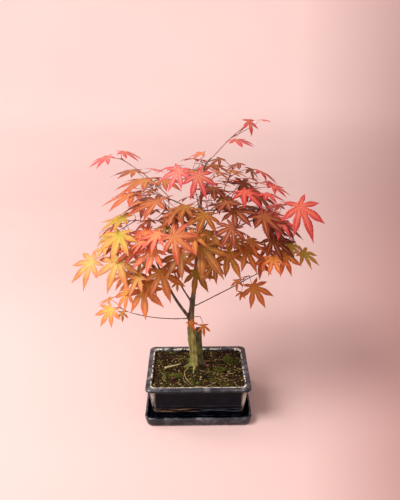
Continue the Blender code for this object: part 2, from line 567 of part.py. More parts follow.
def pad(name, x, y, half_x, half_y, height, mat, steps=14):
    """A low cushion that follows the soil under it, a little above it."""
    bm = bmesh.new()
    rings = []
    for share, lift in ((1.0, 0.0), (0.92, 0.45), (0.66, 0.82), (0.34, 0.97)):
        ring = []
        for k in range(steps):
            angle = 2 * math.pi * k / steps
            wobble = 1 + 0.12 * math.sin(3 * angle + 40 * x) + 0.07 * math.sin(5 * angle)
            px = x + half_x * share * wobble * math.cos(angle)
            py = y + half_y * share * wobble * math.sin(angle)
            ring.append(bm.verts.new((px, py, soil_height(px, py) + PAD_LIFT + height * lift)))
        rings.append(ring)
    top = bm.verts.new((x, y, soil_height(x, y) + PAD_LIFT + height))
    under = bm.verts.new((x, y, soil_height(x, y) + PAD_LIFT))
    for low, high in zip(rings, rings[1:]):
        for k in range(steps):
            j = (k + 1) % steps
            bm.faces.new((low[k], low[j], high[j], high[k]))
    for k in range(steps):
        j = (k + 1) % steps
        bm.faces.new((rings[-1][k], rings[-1][j], top))
        bm.faces.new((rings[0][j], rings[0][k], under))
    return finish(object_from(name, bm), mat, 60)


def make_moss():
    moss = material("moss", MOSS_GREEN, 0.95)
    for name, (x, y), (half_x, half_y), height in MOSS:
        pad(name, x, y, half_x, half_y, height, moss)


def make_fallen_twig():
    """A short length of bare twig, thicker at its broken end."""
    points = []
    for (x, y), radius in FALLEN_TWIG:
        points.append(Vector((x, y, soil_height(x, y) + PAD_LIFT + radius)))
    radii = [radius for _, radius in FALLEN_TWIG]
    twig = object_from("fallen_twig", tube(smooth_path(points, radii, 2), 7))
    return finish(twig, material("dead_twig", TWIG_PALE, 0.8))


# ---------------------------------------------------------------- the wood

def place(point):
    """A place in the tree's drawing, as a place in the pot."""
    scale = TREE_HEIGHT / DRAWN_HEIGHT
    x, y, height = point
    return Vector((x * scale, y * scale, soil_top_z() + height * scale))


def thickness(drawn):
    return drawn * TRUNK_THICKNESS * TREE_HEIGHT / DRAWN_HEIGHT


def wood_path(points, radii, steps):
    return smooth_path([place(p) for p in points], [thickness(r) for r in radii], steps)


def branch_radii(points, start, end):
    last = len(points) - 1
    return [start + (end - start) * i / last for i in range(len(points))]


def wood_paths():
    """Every length of wood as (name, path, sides)."""
    paths = [
        ("leader", wood_path([p for p, _ in LEADER], [r for _, r in LEADER], 2), 10),
        ("stump", wood_path([p for p, _ in STUMP], [r for _, r in STUMP], 2), 10),
    ]
    for name, root in ROOTS.items():
        paths.append((name, wood_path([p for p, _ in root], [r for _, r in root], 2), 6))
    for name, (points, start, end) in BRANCHES.items():
        sides = 8 if start > 2.5 else 5
        paths.append((name, wood_path(points, branch_radii(points, start, end), 2), sides))
    return paths


def make_wood(paths):
    parts = [object_from("wood", tube(path, sides)) for _, path, sides in paths]
    trunk = boolean(parts[0], parts[1:], "UNION")
    trunk.name = "trunk"
    return finish(trunk, material("bark", BARK, 0.75), 50)


def soil_cutters(paths):
    """The parts of the wood that stand in the soil, a gap thicker all round."""
    buried = {"leader", "stump"} | set(ROOTS)
    cutters = []
    for name, path, sides in paths:
        if name in buried:
            near = [spot for spot in path if spot[0].z < soil_top_z() + BURIED_BELOW]
            start, radius = near[0]
            near[0] = (start - Vector((0, 0, GAP)), radius)
            cutters.append(object_from("soil_cutter", tube(near, sides, extra=GAP)))
    return cutters


# ---------------------------------------------------------------- the leaves

def leaf_axes(tilt, heading, turn):
    """Middle lobe's direction, direction to its right, and the upper face's normal."""
    t, h = math.radians(tilt), math.radians(heading)
    out = Vector((math.cos(h), math.sin(h), 0))
    up = Vector((0, 0, 1))
    normal = out * math.sin(t) + up * math.cos(t)
    downhill = out * math.cos(t) - up * math.sin(t)
    across = downhill.cross(normal)
    a = math.radians(turn)
    middle = downhill * math.cos(a) + across * math.sin(a)
    return middle, middle.cross(normal), normal


def lobe_table(length):
    """The lobes in order round the leaf, from one side of the stalk to the other."""
    half = SMALL_LOBES if length < SMALL_LEAF else LOBES
    return [(-a, r) for a, r in reversed(half[1:])] + list(half)


def blade_outline(length, draw):
    """(angle, radius, bend) round a leaf: notch at the stalk, then shoulder, tip, shoulder and sinus."""
    lobes = lobe_table(length)
    outline = [(180.0, NOTCH, 1.0)]
    for i, (angle, reach) in enumerate(lobes):
        reach *= 1 + draw.uniform(-0.07, 0.07)
        angle += draw.uniform(-3, 3)
        bend = 1 + draw.uniform(-0.5, 0.9)
        half_width = LOBE_HALF_WIDTH * reach ** 0.8
        shoulder = math.hypot(LOBE_SHOULDER * reach, half_width)
        spread = math.degrees(math.atan2(half_width, LOBE_SHOULDER * reach))
        outline += [(angle - spread, shoulder, bend), (angle, reach, bend), (angle + spread, shoulder, bend)]
        if i + 1 < len(lobes):
            following = lobes[i + 1]
            sinus = SINUS * (0.55 + 0.45 * min(reach, following[1]))
            outline.append(((lobes[i][0] + following[0]) / 2, sinus, 1.0))
    return outline


def blade(centre, axes, length, outline, extra=0.0):
    """A leaf blade as a thin closed star, thickest in the middle, with its lobes bent back and sagging."""
    middle, right, normal = axes
    down = Vector((0, 0, -1))
    bm = bmesh.new()
    half = BLADE_HALF_THICKNESS + extra
    top = bm.verts.new(centre + normal * half)
    under = bm.verts.new(centre - normal * half)
    ring = []
    for angle, radius, bend in outline:
        a = math.radians(angle)
        flat = (middle * math.cos(a) + right * math.sin(a)) * (radius * length + extra)
        back = (down * SAG - normal * CUP) * (bend * radius * radius * length)
        ring.append(bm.verts.new(centre + flat + back))
    for i in range(len(ring)):
        j = (i + 1) % len(ring)
        bm.faces.new((top, ring[j], ring[i]))
        bm.faces.new((under, ring[i], ring[j]))
    return bm


def stalk_path(start, centre, axes):
    """A leaf stalk from the shoot to the underside of the blade, arching as it comes."""
    middle, _, normal = axes
    end = centre - normal * BLADE_HALF_THICKNESS
    reach = (end - start).length
    bend = end - (middle * 0.90 + normal * 0.42) * reach * 0.40
    path = []
    for step in range(STALK_STEPS + 1):
        t = step / STALK_STEPS
        spot = start * (1 - t) ** 2 + bend * 2 * t * (1 - t) + end * t * t
        path.append((spot, STALK_RADIUS * (1.12 - 0.22 * t)))
    return path


def leaf_body(start, centre, axes, length, outline):
    """Blade and stalk as one closed body: the stalk's last ring is the middle of the blade's underside."""
    middle, right, normal = axes
    bm = blade(centre, axes, length, outline)
    bm.verts.ensure_lookup_table()
    under = bm.verts[1]
    ring = list(bm.verts)[2:]
    bmesh.ops.delete(bm, geom=[under], context="VERTS")
    path = stalk_path(start, centre, axes)
    corners = [math.radians(a) for a in STALK_CORNERS]
    across = right
    later = None
    for i in range(len(path) - 1, -1, -1):
        spot, radius = path[i]
        if later is None:
            ways = [middle * math.cos(a) + right * math.sin(a) for a in corners]
        else:
            ahead = (path[i + 1][0] - spot).normalized()
            across = (across - ahead * across.dot(ahead)).normalized()
            upward = ahead.cross(across)
            ways = [upward * math.cos(a) + across * math.sin(a) for a in corners]
        band = [bm.verts.new(spot + way * radius) for way in ways]
        if later is None:
            fan_to_ring(bm, outline, ring, band)
        else:
            for k in range(len(band)):
                j = (k + 1) % len(band)
                bm.faces.new((band[k], band[j], later[j], later[k]))
        later = band
    bm.faces.new(later)
    bmesh.ops.recalc_face_normals(bm, faces=bm.faces)
    return bm


def fan_to_ring(bm, outline, ring, band):
    """Close the blade's underside between its outline and the stalk's last ring."""
    def nearest(angle):
        gaps = [abs((angle - corner + 180) % 360 - 180) for corner in STALK_CORNERS]
        return gaps.index(min(gaps))

    nearest_corner = [nearest(angle) for angle, _, _ in outline]
    for i in range(len(ring)):
        j = (i + 1) % len(ring)
        here, following = nearest_corner[i], nearest_corner[j]
        bm.faces.new((band[here], ring[i], ring[j]))
        if here != following:
            bm.faces.new((band[here], ring[j], band[following]))


def shoot_path(root, first_way, tip, radius):
    """A shoot that leaves the wood square to its cut and then curves to its tip."""
    reach = (tip - root).length
    early = root + first_way * min(2.2 * MM, 0.3 * reach)
    middle = (early + tip) / 2 + Vector((0, 0, 0.05 * reach))
    return [(root, radius)] + smooth_path([early, middle, tip], [radius, radius * 0.95, radius * 0.8], 2)


def along(path, share):
    """Place, direction and radius at a share of a path's length."""
    lengths = [(b[0] - a[0]).length for a, b in zip(path, path[1:])]
    left = share * sum(lengths)
    for (a, b), length in zip(zip(path, path[1:]), lengths):
        if left <= length or (a, b) == (path[-2], path[-1]):
            t = min(left / length, 1.0)
            return a[0].lerp(b[0], t), (b[0] - a[0]).normalized(), a[1] + (b[1] - a[1]) * t
        left -= length
    raise ValueError("the share is past the path's end")


def shoot_root(path, share, tip):
    """Where a shoot starts, a gap off the wood, and the way that it sets off."""
    spot, ahead, radius = along(path, share)
    if share >= 1.0:
        return spot + ahead * GAP, ahead
    away = tip - spot
    away = (away - ahead * away.dot(ahead)).normalized()
    return spot + away * (radius + GAP), away


class Crown:
    """What has been placed so far, so that no leaf grows through its neighbour."""

    def __init__(self):
        self.taken = []

    def add(self, owner, bm):
        corners = [v.co for v in bm.verts]
        centre = sum(corners, Vector()) / len(corners)
        reach = max((c - centre).length for c in corners)
        self.taken.append((owner, centre, reach, tree_of(bm)))

    def hits(self, bm, skip=()):
        corners = [v.co for v in bm.verts]
        centre = sum(corners, Vector()) / len(corners)
        reach = max((c - centre).length for c in corners)
        shape = tree_of(bm)
        for owner, other, other_reach, other_shape in self.taken:
            near = (centre - other).length < reach + other_reach
            if near and owner not in skip and shape.overlap(other_shape):
                return True
        return False


def leaf_rule(path, count, draw):
    """Leaves in opposite pairs along a shoot, each pair a quarter turn on from the last."""
    leaves = []
    pairs = (count + 1) // 2
    scale = TREE_HEIGHT / DRAWN_HEIGHT
    for i in range(count):
        share = 1.0 - LEAF_SHARE * (i // 2) / max(pairs - 1, 1)
        spot, ahead, _ = along(path, share)
        side = ahead.cross(Vector((0, 0, 1))).normalized()
        if (i // 2) % 2:
            side = (side * 0.5 + Vector((0, 0, 1)) * 0.7).normalized()
        side *= 1 if i % 2 else -1
        way = (side + ahead * 0.8).normalized()
        centre = spot + way * STALK_LENGTH * scale * draw.uniform(0.8, 1.15)
        heading = math.degrees(math.atan2(way.y, way.x)) + draw.uniform(-15, 15)
        leaves.append((centre, draw.uniform(25, 34), draw.uniform(8, 36), heading))
    return leaves


def grow_leaf(crown, owner, start, centre, length, tilt, heading, turn, draw):
    """Try the drawn place first, then places further and further from it, until the leaf is free."""
    size = length * LEAF_SIZE * TREE_HEIGHT / DRAWN_HEIGHT
    outline = blade_outline(length, draw)
    for attempt in range(TRIES):
        loose = attempt / TRIES_PER_STEP
        shift = Vector([draw.uniform(-1, 1) for _ in range(3)]) * LOOSE_STEP * loose
        other_tilt = tilt + draw.uniform(-1, 1) * LOOSE_TILT * loose
        axes = leaf_axes(other_tilt, heading + draw.uniform(-1, 1) * LOOSE_HEADING * loose, turn)
        spot = centre + shift
        plate = blade(spot, axes, size, outline)
        stalk = tube(stalk_path(start, spot, axes), 4)
        if not crown.hits(plate) and not crown.hits(stalk, skip=(owner, owner + " shoot")):
            crown.add(owner + " blade", blade(spot, axes, size, outline, extra=LEAF_CLEARANCE))
            crown.add(owner, tube(stalk_path(start, spot, axes), 4, extra=LEAF_CLEARANCE))
            return leaf_body(start, spot, axes, size, outline)
        plate.free()
        stalk.free()
    raise ValueError("no free place for a leaf on " + owner)


def make_shoots(paths):
    by_name = {name: path for name, path, _ in paths}
    crown = Crown()
    for name, path, sides in paths:
        crown.add("wood", tube(path, sides, extra=LEAF_CLEARANCE))
    lines = {}
    for name, branch, share, tip, _, _ in SHOOTS:
        root, way = shoot_root(by_name[branch], share, place(tip))
        lines[name] = shoot_path(root, way, place(tip), SHOOT_RADIUS)
        crown.add(name + " shoot", tube(lines[name], 5, extra=LEAF_CLEARANCE))
    for number, (name, _, _, _, colour, leaves) in enumerate(SHOOTS):
        draw = random.Random(100 + number)
        path = lines[name]
        if isinstance(leaves, int):
            wanted = leaf_rule(path, leaves, draw)
        else:
            wanted = [(place(leaf[:3]), *leaf[3:]) for leaf in leaves]
        parts = []
        pairs = (len(wanted) + 1) // 2
        for i, (centre, length, tilt, heading, *turn) in enumerate(wanted):
            start, ahead, _ = along(path, 0.98 - LEAF_SHARE * (i // 2) / max(pairs - 1, 1))
            start -= ahead * PAIR_STEP * (i % 2) * TREE_HEIGHT / DRAWN_HEIGHT
            turn = turn[0] if turn else draw.uniform(-TURN_SPREAD, TURN_SPREAD)
            leaf = grow_leaf(crown, name, start, centre, length, tilt, heading, turn, draw)
            parts.append(object_from("leaf", leaf))
        shoot = boolean(object_from(name, tube(path, 5)), parts, "UNION")
        finish(shoot, material(name + "_leaves", colour, 0.5), 25)


def main():
    clear_scene()
    paths = wood_paths()
    make_tray()
    make_pot()
    make_screens()
    make_soil(soil_cutters(paths))
    make_moss()
    make_fallen_twig()
    make_wood(paths)
    make_shoots(paths)


main()
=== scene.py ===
# %% [markdown]
# # A bonsai maple in a glazed pot
#
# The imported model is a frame: it says where every shoot, leaf, root and rim is, in metres, with +Z up. This
# file dresses it. The pot and tray get a worn dark glaze, the soil gets its crumbs and moss, the trunk gets
# bark, and every plain leaf is rebuilt as a thin, veined, toothed leaf in the same place. We start by
# loading the frame and noting its box, because the finished tree has to fill the same space.

# %% Load the frame
import json
import math
import random

import bmesh
import bpy
import numpy as np
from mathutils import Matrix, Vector, noise
from mathutils.bvhtree import BVHTree

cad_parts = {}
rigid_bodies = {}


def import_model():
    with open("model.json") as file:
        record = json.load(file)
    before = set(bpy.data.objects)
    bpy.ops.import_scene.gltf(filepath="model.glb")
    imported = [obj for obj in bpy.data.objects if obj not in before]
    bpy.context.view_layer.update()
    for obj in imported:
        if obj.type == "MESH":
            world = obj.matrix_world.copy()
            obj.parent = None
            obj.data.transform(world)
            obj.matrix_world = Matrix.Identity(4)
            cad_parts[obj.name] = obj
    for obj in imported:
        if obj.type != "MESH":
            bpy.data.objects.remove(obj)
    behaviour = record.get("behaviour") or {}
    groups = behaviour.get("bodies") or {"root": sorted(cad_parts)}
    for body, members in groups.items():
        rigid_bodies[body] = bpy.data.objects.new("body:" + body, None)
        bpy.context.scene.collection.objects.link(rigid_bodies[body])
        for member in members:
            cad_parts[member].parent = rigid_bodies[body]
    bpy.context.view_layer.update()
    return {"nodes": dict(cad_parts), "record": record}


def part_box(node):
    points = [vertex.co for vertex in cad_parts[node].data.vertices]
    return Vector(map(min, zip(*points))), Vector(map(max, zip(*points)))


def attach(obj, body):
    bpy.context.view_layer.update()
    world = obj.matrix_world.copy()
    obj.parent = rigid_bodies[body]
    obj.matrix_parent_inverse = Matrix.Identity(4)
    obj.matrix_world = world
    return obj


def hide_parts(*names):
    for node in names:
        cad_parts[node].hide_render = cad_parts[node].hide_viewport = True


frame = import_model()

NODES = frame["nodes"]
MM = 0.001

# %% [markdown]
# ## Camera
#
# The tree is seen from the front and from above, at about 22 degrees, by a fairly long lens. The camera
# stands where a person at the table would, 0.7 m back and half a metre up.

# %% Camera
camera_data = bpy.data.cameras.new("camera")
camera_data.sensor_fit = "VERTICAL"
camera_data.sensor_height = 36.0
camera_data.sensor_width = 36.0
camera_data.lens = 38.88
camera = bpy.data.objects.new("camera", camera_data)
camera.location = (-0.008, -0.685, 0.523)
camera.rotation_euler = (math.radians(90 - 21.8), 0, math.radians(-0.92))
bpy.context.scene.collection.objects.link(camera)
bpy.context.scene.camera = camera
print("camera", tuple(round(v, 3) for v in camera.location))

# %% [markdown]
# ## Helpers for materials
#
# Every finish is a small tree of nodes, and so is every recipe for a shape later on. `NodeWork` keeps both
# short: it makes a node, wires its inputs, and does sums on values. `Finish` adds what only a material
# needs: noise in the piece's own coordinates, colour ramps, mixing, and values that a piece carries at its
# corners.


# %% Node helpers
class NodeWork:
    """A node tree under construction."""

    def node(self, kind, settings=None, **inputs):
        """A node of that kind. An input is a value or another node's output, by name with _ for a space."""
        made = self.tree.nodes.new(kind)
        for key, value in (settings or {}).items():
            setattr(made, key, value)
        for key, value in inputs.items():
            self.set(made.inputs[key.replace("_", " ")], value)
        return made

    def set(self, socket, value):
        if isinstance(value, bpy.types.NodeSocket):
            self.tree.links.new(value, socket)
        elif hasattr(socket.default_value, "__len__") and len(socket.default_value) == 4 and len(value) == 3:
            socket.default_value = (*value, 1.0)
        else:
            socket.default_value = value

    def math(self, operation, a, b=0.0):
        made = self.node("ShaderNodeMath", {"operation": operation})
        self.set(made.inputs[0], a)
        self.set(made.inputs[1], b)
        return made.outputs[0]

    def times(self, a, b):
        return self.math("MULTIPLY", a, b)

    def plus(self, a, b):
        return self.math("ADD", a, b)

    def minus(self, a, b):
        return self.math("SUBTRACT", a, b)


print("node helpers ready")


# %% Material helpers
class Finish(NodeWork):
    """A material under construction: its node tree, Principled shader and object coordinates."""

    def __init__(self, name, roughness=0.5, **constants):
        self.mat = bpy.data.materials.new(name)
        self.mat.use_nodes = True
        self.tree = self.mat.node_tree
        self.shader = self.tree.nodes["Principled BSDF"]
        self.shader.inputs["Roughness"].default_value = roughness
        for key, value in constants.items():
            self.shader.inputs[key.replace("_", " ")].default_value = value
        self.place = self.node("ShaderNodeTexCoord").outputs["Object"]

    def noise(self, scale, detail=4.0, roughness=0.55, distortion=0.0, stretch=None):
        """Noise in object space. A scale of 1000 has features about a millimetre across."""
        where = self.place
        if stretch:
            where = self.node("ShaderNodeMapping", Vector=where, Scale=stretch).outputs["Vector"]
        return self.node("ShaderNodeTexNoise", Vector=where, Scale=scale, Detail=detail, Roughness=roughness,
                         Distortion=distortion).outputs["Fac"]

    def value(self, name):
        """A number that each corner of the piece carries."""
        return self.node("ShaderNodeAttribute", {"attribute_name": name}).outputs["Fac"]

    def tint(self, name):
        """A colour that each corner of the piece carries."""
        return self.node("ShaderNodeAttribute", {"attribute_name": name}).outputs["Color"]

    def across_and_up(self):
        """The place as three numbers: X, Y and Z."""
        split = self.node("ShaderNodeSeparateXYZ", Vector=self.place).outputs
        return split["X"], split["Y"], split["Z"]

    def span(self, value, low, high, to_low=0.0, to_high=1.0):
        """A value's share of the way from low to high, kept between the two results."""
        return self.node("ShaderNodeMapRange", Value=value, From_Min=low, From_Max=high, To_Min=to_low,
                         To_Max=to_high).outputs["Result"]

    def ramp(self, value, *stops):
        """Colours along a value, as (position, colour) pairs."""
        made = self.node("ShaderNodeValToRGB", Fac=value)
        bar = made.color_ramp
        while len(bar.elements) < len(stops):
            bar.elements.new(0.5)
        for element, (position, colour) in zip(bar.elements, stops):
            element.position = position
            element.color = (*colour, 1.0)
        return made.outputs["Color"]

    def mix(self, share, a, b, blend="MIX"):
        made = self.node("ShaderNodeMix", {"data_type": "RGBA", "blend_type": blend})
        self.set(made.inputs[0], share)
        self.set(made.inputs[6], a)
        self.set(made.inputs[7], b)
        return made.outputs[2]

    def bump(self, height, strength, distance):
        bump = self.node("ShaderNodeBump", Strength=strength, Distance=distance, Height=height)
        return bump.outputs["Normal"]

    def colour(self, value):
        self.set(self.shader.inputs["Base Color"], value)

    def drive(self, name, value):
        self.tree.links.new(value, self.shader.inputs[name])


def srgb(red, green, blue):
    """A colour given in the usual 0 to 255 steps, as the linear light that materials take."""
    return tuple(((c / 255) / 12.92 if c <= 10 else ((c / 255 + 0.055) / 1.055) ** 2.4)
                 for c in (red, green, blue))


print("material helpers ready")


# %% [markdown]
# ## Helpers for meshes
#
# A imported node is a soup of separate triangles. `merged` makes a joined copy to work on, and never touches
# the node itself. `rounded` and `applied` turn modifiers into plain meshes. `piece` turns an object into a
# finished piece: it rides on the one body, and the nodes it stands for are hidden.


# %% Mesh helpers
def merged(node):
    """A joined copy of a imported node, as a bmesh."""
    bm = bmesh.new()
    bm.from_mesh(NODES[node].data)
    bmesh.ops.remove_doubles(bm, verts=bm.verts, dist=2e-6)
    return bm


def link(name, mesh):
    made = bpy.data.objects.new(name, mesh)
    bpy.context.scene.collection.objects.link(made)
    return made


def mesh_of(bm, name, smooth=True):
    """A bmesh as a mesh. A closed body that came out inside out is turned."""
    if bm.calc_volume(signed=True) < 0:
        bmesh.ops.reverse_faces(bm, faces=bm.faces)
    mesh = bpy.data.meshes.new(name)
    bm.to_mesh(mesh)
    bm.free()
    if smooth:
        mesh.shade_smooth()
    return mesh


def rounded(obj, levels):
    """Subdivide an object, rounding it, and keep the result as its mesh."""
    step = obj.modifiers.new("rounding", "SUBSURF")
    step.levels = step.render_levels = levels
    return applied(obj)


def finished(obj, *materials):
    """Give an object only these materials."""
    obj.data.materials.clear()
    for material in materials:
        obj.data.materials.append(material)
    return obj


def applied(obj):
    """Apply an object's modifiers, and leave it with the plain mesh."""
    graph = bpy.context.evaluated_depsgraph_get()
    result = bpy.data.meshes.new_from_object(obj.evaluated_get(graph))
    obj.modifiers.clear()
    obj.data = result
    return obj


def piece(obj, slot, *nodes):
    """Finish an object as a piece of the model."""
    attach(obj, "root")
    if nodes:
        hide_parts(*nodes)
    return obj


def triangles(obj):
    return sum(len(p.vertices) - 2 for p in obj.data.polygons)


print("mesh helpers ready")

# %% [markdown]
# ## Reading the leaves
#
# In the frame each leaf is a thin star: one corner in the middle of its upper face, joined to every corner
# of its outline. That middle corner has 28 edges on a leaf with seven lobes and 20 on a leaf with five, so
# it is easy to find. Walking round it gives the outline in order: the notch at the stalk, then for each
# lobe a shoulder, the tip and a shoulder, with the cut between two lobes after that. From these corners we
# recover the leaf's plane, and how far each lobe bends away from it.

# %% Find every leaf in a shoot
EDGES_OF_MIDDLE = (28, 20)      # of the corner in the middle of a leaf with seven or five lobes
CUP = 0.08                      # how far a lobe is pulled to the leaf's back
SAG = 0.07                      # how far it is pulled down
BLADE_HALF = 0.45 * MM          # half the thickness of a leaf in the frame
STALK_END = 1.6 * MM            # a stalk's last corners are nearer than this to the leaf's middle


class Leaf:
    """A leaf's place, plane and lobes. Each lobe is (direction and length in the plane, bend)."""

    def __init__(self, top, ring):
        corners = [v.co.copy() for v in ring]
        nearest = min(range(len(corners)), key=lambda i: (corners[i] - top.co).length)
        corners = corners[nearest:] + corners[:nearest]
        lobes = (len(corners) - 1) // 4 + 1
        tips = [corners[2 + 4 * i] for i in range(lobes)]
        plane = self.fit_plane(top, ring)
        self.normal = plane
        self.centre = top.co - plane * BLADE_HALF
        pull = Vector((0, 0, -1)) * SAG - plane * CUP
        self.lobes = []
        for tip in tips:
            arm = tip - self.centre
            bend = arm.dot(plane) / pull.dot(plane)
            self.lobes.append((arm - pull * bend, bend))
        self.middle = self.lobes[lobes // 2][0].normalized()
        self.right = self.middle.cross(plane).normalized()
        self.size = self.lobes[lobes // 2][0].length

    @staticmethod
    def fit_plane(top, ring):
        """The upper face's normal: the stalk's last ring lies straight under the middle corner."""
        below = set()
        for v in ring:
            for edge in v.link_edges:
                other = edge.other_vert(v)
                if other is not top and other not in ring and (other.co - top.co).length < STALK_END:
                    below.add(other)
        middle = sum((v.co for v in below), Vector()) / len(below)
        return (top.co - middle).normalized()


def ring_round(top):
    """The corners round a vertex, in order."""
    start = top.link_loops[0]
    loop, ring = start, []
    while True:
        ring.append(loop.link_loop_next.vert)
        loop = loop.link_loop_prev.link_loop_radial_next
        if loop is start or loop.vert is not top:
            break
    return ring


def read_shoot(node):
    """The leaves of a shoot, and what is left of its mesh when they are taken off."""
    bm = merged(node)
    leaves, blades = [], set()
    for top in bm.verts:
        if len(top.link_edges) in EDGES_OF_MIDDLE:
            ring = ring_round(top)
            leaves.append(Leaf(top, ring))
            blades.update([top, *ring])
    bmesh.ops.delete(bm, geom=list(blades), context="VERTS")
    return leaves, bm


SHOOTS = [name for name in NODES if name.endswith("_shoot") or name.endswith("_leaf")]
print(len(SHOOTS), "shoots")

# %% [markdown]
# ## Helpers for Geometry Nodes
#
# What repeats or follows a rule is made by Geometry Nodes: the bending of every leaf, the crumbs on the
# soil and the moss. `Recipe` builds such a tree from named inputs. `cook` sets a modifier's inputs by their
# identifiers, evaluates the object once and swaps the result in as a plain mesh.


# %% Geometry Nodes helpers
class Recipe(NodeWork):
    """A geometry node tree with a mesh input, named inputs, and a material set at its end."""

    SOCKETS = {int: "NodeSocketInt", float: "NodeSocketFloat"}

    def __init__(self, name, **inputs):
        self.tree = bpy.data.node_groups.new(name, "GeometryNodeTree")
        face = self.tree.interface
        face.new_socket("Geometry", in_out="INPUT", socket_type="NodeSocketGeometry")
        self.ids = {}
        for key, value in inputs.items():
            kind = self.SOCKETS.get(type(value), "NodeSocketObject")
            made = face.new_socket(key, in_out="INPUT", socket_type=kind)
            made.default_value = value
            self.ids[key] = (made.identifier, value)
        face.new_socket("Geometry", in_out="OUTPUT", socket_type="NodeSocketGeometry")
        self.start = self.tree.nodes.new("NodeGroupInput")
        self.end = self.tree.nodes.new("NodeGroupOutput")
        self.mesh = self.start.outputs[0]

    def given(self, name):
        return self.start.outputs[name]

    def shift(self, a, b):
        """The sum of two vectors."""
        made = self.node("ShaderNodeVectorMath", {"operation": "ADD"})
        self.set(made.inputs[0], a)
        self.set(made.inputs[1], b)
        return made.outputs[0]

    def scale(self, vector, factor):
        made = self.node("ShaderNodeVectorMath", {"operation": "SCALE"}, Scale=factor)
        self.set(made.inputs[0], vector)
        return made.outputs[0]

    def random(self, kind, **inputs):
        """A random value for each element, of that kind."""
        return self.node("FunctionNodeRandomValue", {"data_type": kind}, **inputs)

    def joined(self, *parts):
        both = self.node("GeometryNodeJoinGeometry")
        for part in parts:
            self.tree.links.new(part, both.inputs[0])
        return both.outputs[0]

    def attribute(self, name, kind="FLOAT"):
        made = self.node("GeometryNodeInputNamedAttribute", {"data_type": kind})
        made.inputs["Name"].default_value = name
        return made.outputs["Attribute"]

    def store(self, geometry, name, value):
        made = self.node("GeometryNodeStoreNamedAttribute", {"data_type": "FLOAT", "domain": "POINT"},
                         Geometry=geometry)
        made.inputs["Name"].default_value = name
        self.set(made.inputs["Value"], value)
        return made.outputs[0]

    def serve(self, geometry, material):
        """End the recipe: real faces, all of one material."""
        real = self.node("GeometryNodeRealizeInstances", Geometry=geometry).outputs[0]
        dressed = self.node("GeometryNodeSetMaterial", Geometry=real, Material=material).outputs[0]
        self.tree.links.new(dressed, self.end.inputs[0])


def cook(obj, recipe, **changes):
    """Run a recipe on an object, with these inputs changed, and keep the result as its mesh."""
    step = obj.modifiers.new(recipe.tree.name, "NODES")
    step.node_group = recipe.tree
    for key, (identifier, value) in recipe.ids.items():
        step[identifier] = changes.get(key, value)
    return applied(obj)


print("recipes ready")

# %% [markdown]
# ## The colours of the leaves
#
# A maple colours from its sunny side inwards. The topmost and outermost leaves are pink and salmon red, the
# right side is a deep red brown, the middle of the crown is orange brown with some olive left in it, and
# the low left side is still yellow and green. A leaf also changes along its length: its middle stays yellow
# longest, and its tips turn first. So each shoot has two colours, one for the middle of its leaves and one
# for their tips.


# %% Leaf colours
PALETTES = {
    "pink": (srgb(246, 140, 120), srgb(232, 70, 90)),
    "salmon": (srgb(224, 146, 84), srgb(200, 92, 62)),
    "star": (srgb(242, 160, 100), srgb(222, 94, 70)),
    "crimson": (srgb(240, 104, 92), srgb(206, 40, 60)),
    "scarlet": (srgb(252, 132, 114), srgb(228, 76, 86)),
    "maroon": (srgb(162, 74, 38), srgb(136, 42, 32)),
    "brown": (srgb(184, 120, 34), srgb(176, 84, 30)),
    "copper": (srgb(206, 146, 58), srgb(190, 106, 50)),
    "rust": (srgb(218, 142, 58), srgb(206, 104, 50)),
    "orange": (srgb(234, 160, 62), srgb(222, 106, 56)),
    "amber": (srgb(236, 166, 70), srgb(222, 120, 56)),
    "peach": (srgb(246, 200, 88), srgb(232, 134, 78)),
    "gold": (srgb(252, 222, 110), srgb(242, 152, 92)),
    "lime": (srgb(186, 178, 48), srgb(212, 146, 56)),
    "olive": (srgb(180, 156, 36), srgb(190, 116, 34)),
}
SHOOT_PALETTE = {
    "trunk_leaf": "amber", "stump_leaf": "amber", "low_left_shoot": "peach", "hanging_left_shoot": "peach",
    "middle_left_shoot": "rust", "left_star_shoot": "gold", "left_green_shoot": "lime",
    "red_middle_shoot": "star", "front_star_shoot": "star", "front_low_shoot": "copper",
    "trunk_star_shoot": "olive", "right_front_shoot": "rust", "middle_front_shoot": "copper",
    "low_right_shoot": "rust", "right_low_end_shoot": "orange", "right_green_shoot": "lime",
    "right_dark_shoot": "maroon", "right_star_shoot": "scarlet", "dark_front_shoot": "maroon",
    "centre_shoot": "brown", "big_brown_shoot": "salmon", "salmon_shoot": "salmon", "top_left_shoot": "pink",
    "top_shoot": "pink", "top_middle_shoot": "salmon", "drooping_pink_shoot": "pink",
    "right_upper_shoot": "maroon", "right_top_star_shoot": "crimson", "inner_right_shoot": "maroon",
    "inner_green_shoot": "olive", "small_green_shoot": "lime", "left_inner_shoot": "lime",
    "left_second_end_shoot": "orange", "left_second_side_shoot": "rust", "twig_shoot": "brown",
    "back_left_end_shoot": "salmon", "back_left_side_shoot": "salmon", "back_left_low_shoot": "rust",
    "back_right_end_shoot": "crimson", "back_right_side_shoot": "maroon", "back_right_low_shoot": "brown",
    "back_middle_end_shoot": "pink", "back_middle_side_shoot": "salmon", "right_mid_side_shoot": "maroon",
    "right_mid_low_shoot": "brown",
}
print(len(SHOOT_PALETTE), "shoots have colours; missing:", sorted(set(SHOOTS) - set(SHOOT_PALETTE)))

# %% [markdown]
# ## One leaf
#
# A Japanese maple's leaf is a hand of long lobes, each widest near its middle and drawn out to a tail, with
# fine teeth along both edges. It is laid out flat first, as rows of corners that run out along each lobe:
# five to a row, from edge to edge, with the midrib in the middle. Inside the cuts, neighbouring lobes share
# their edge corners, so the hand is one sheet. Each corner carries what the later steps need: how far along
# its lobe it is, how far across, and how far it has to bend to reach its place in the frame.

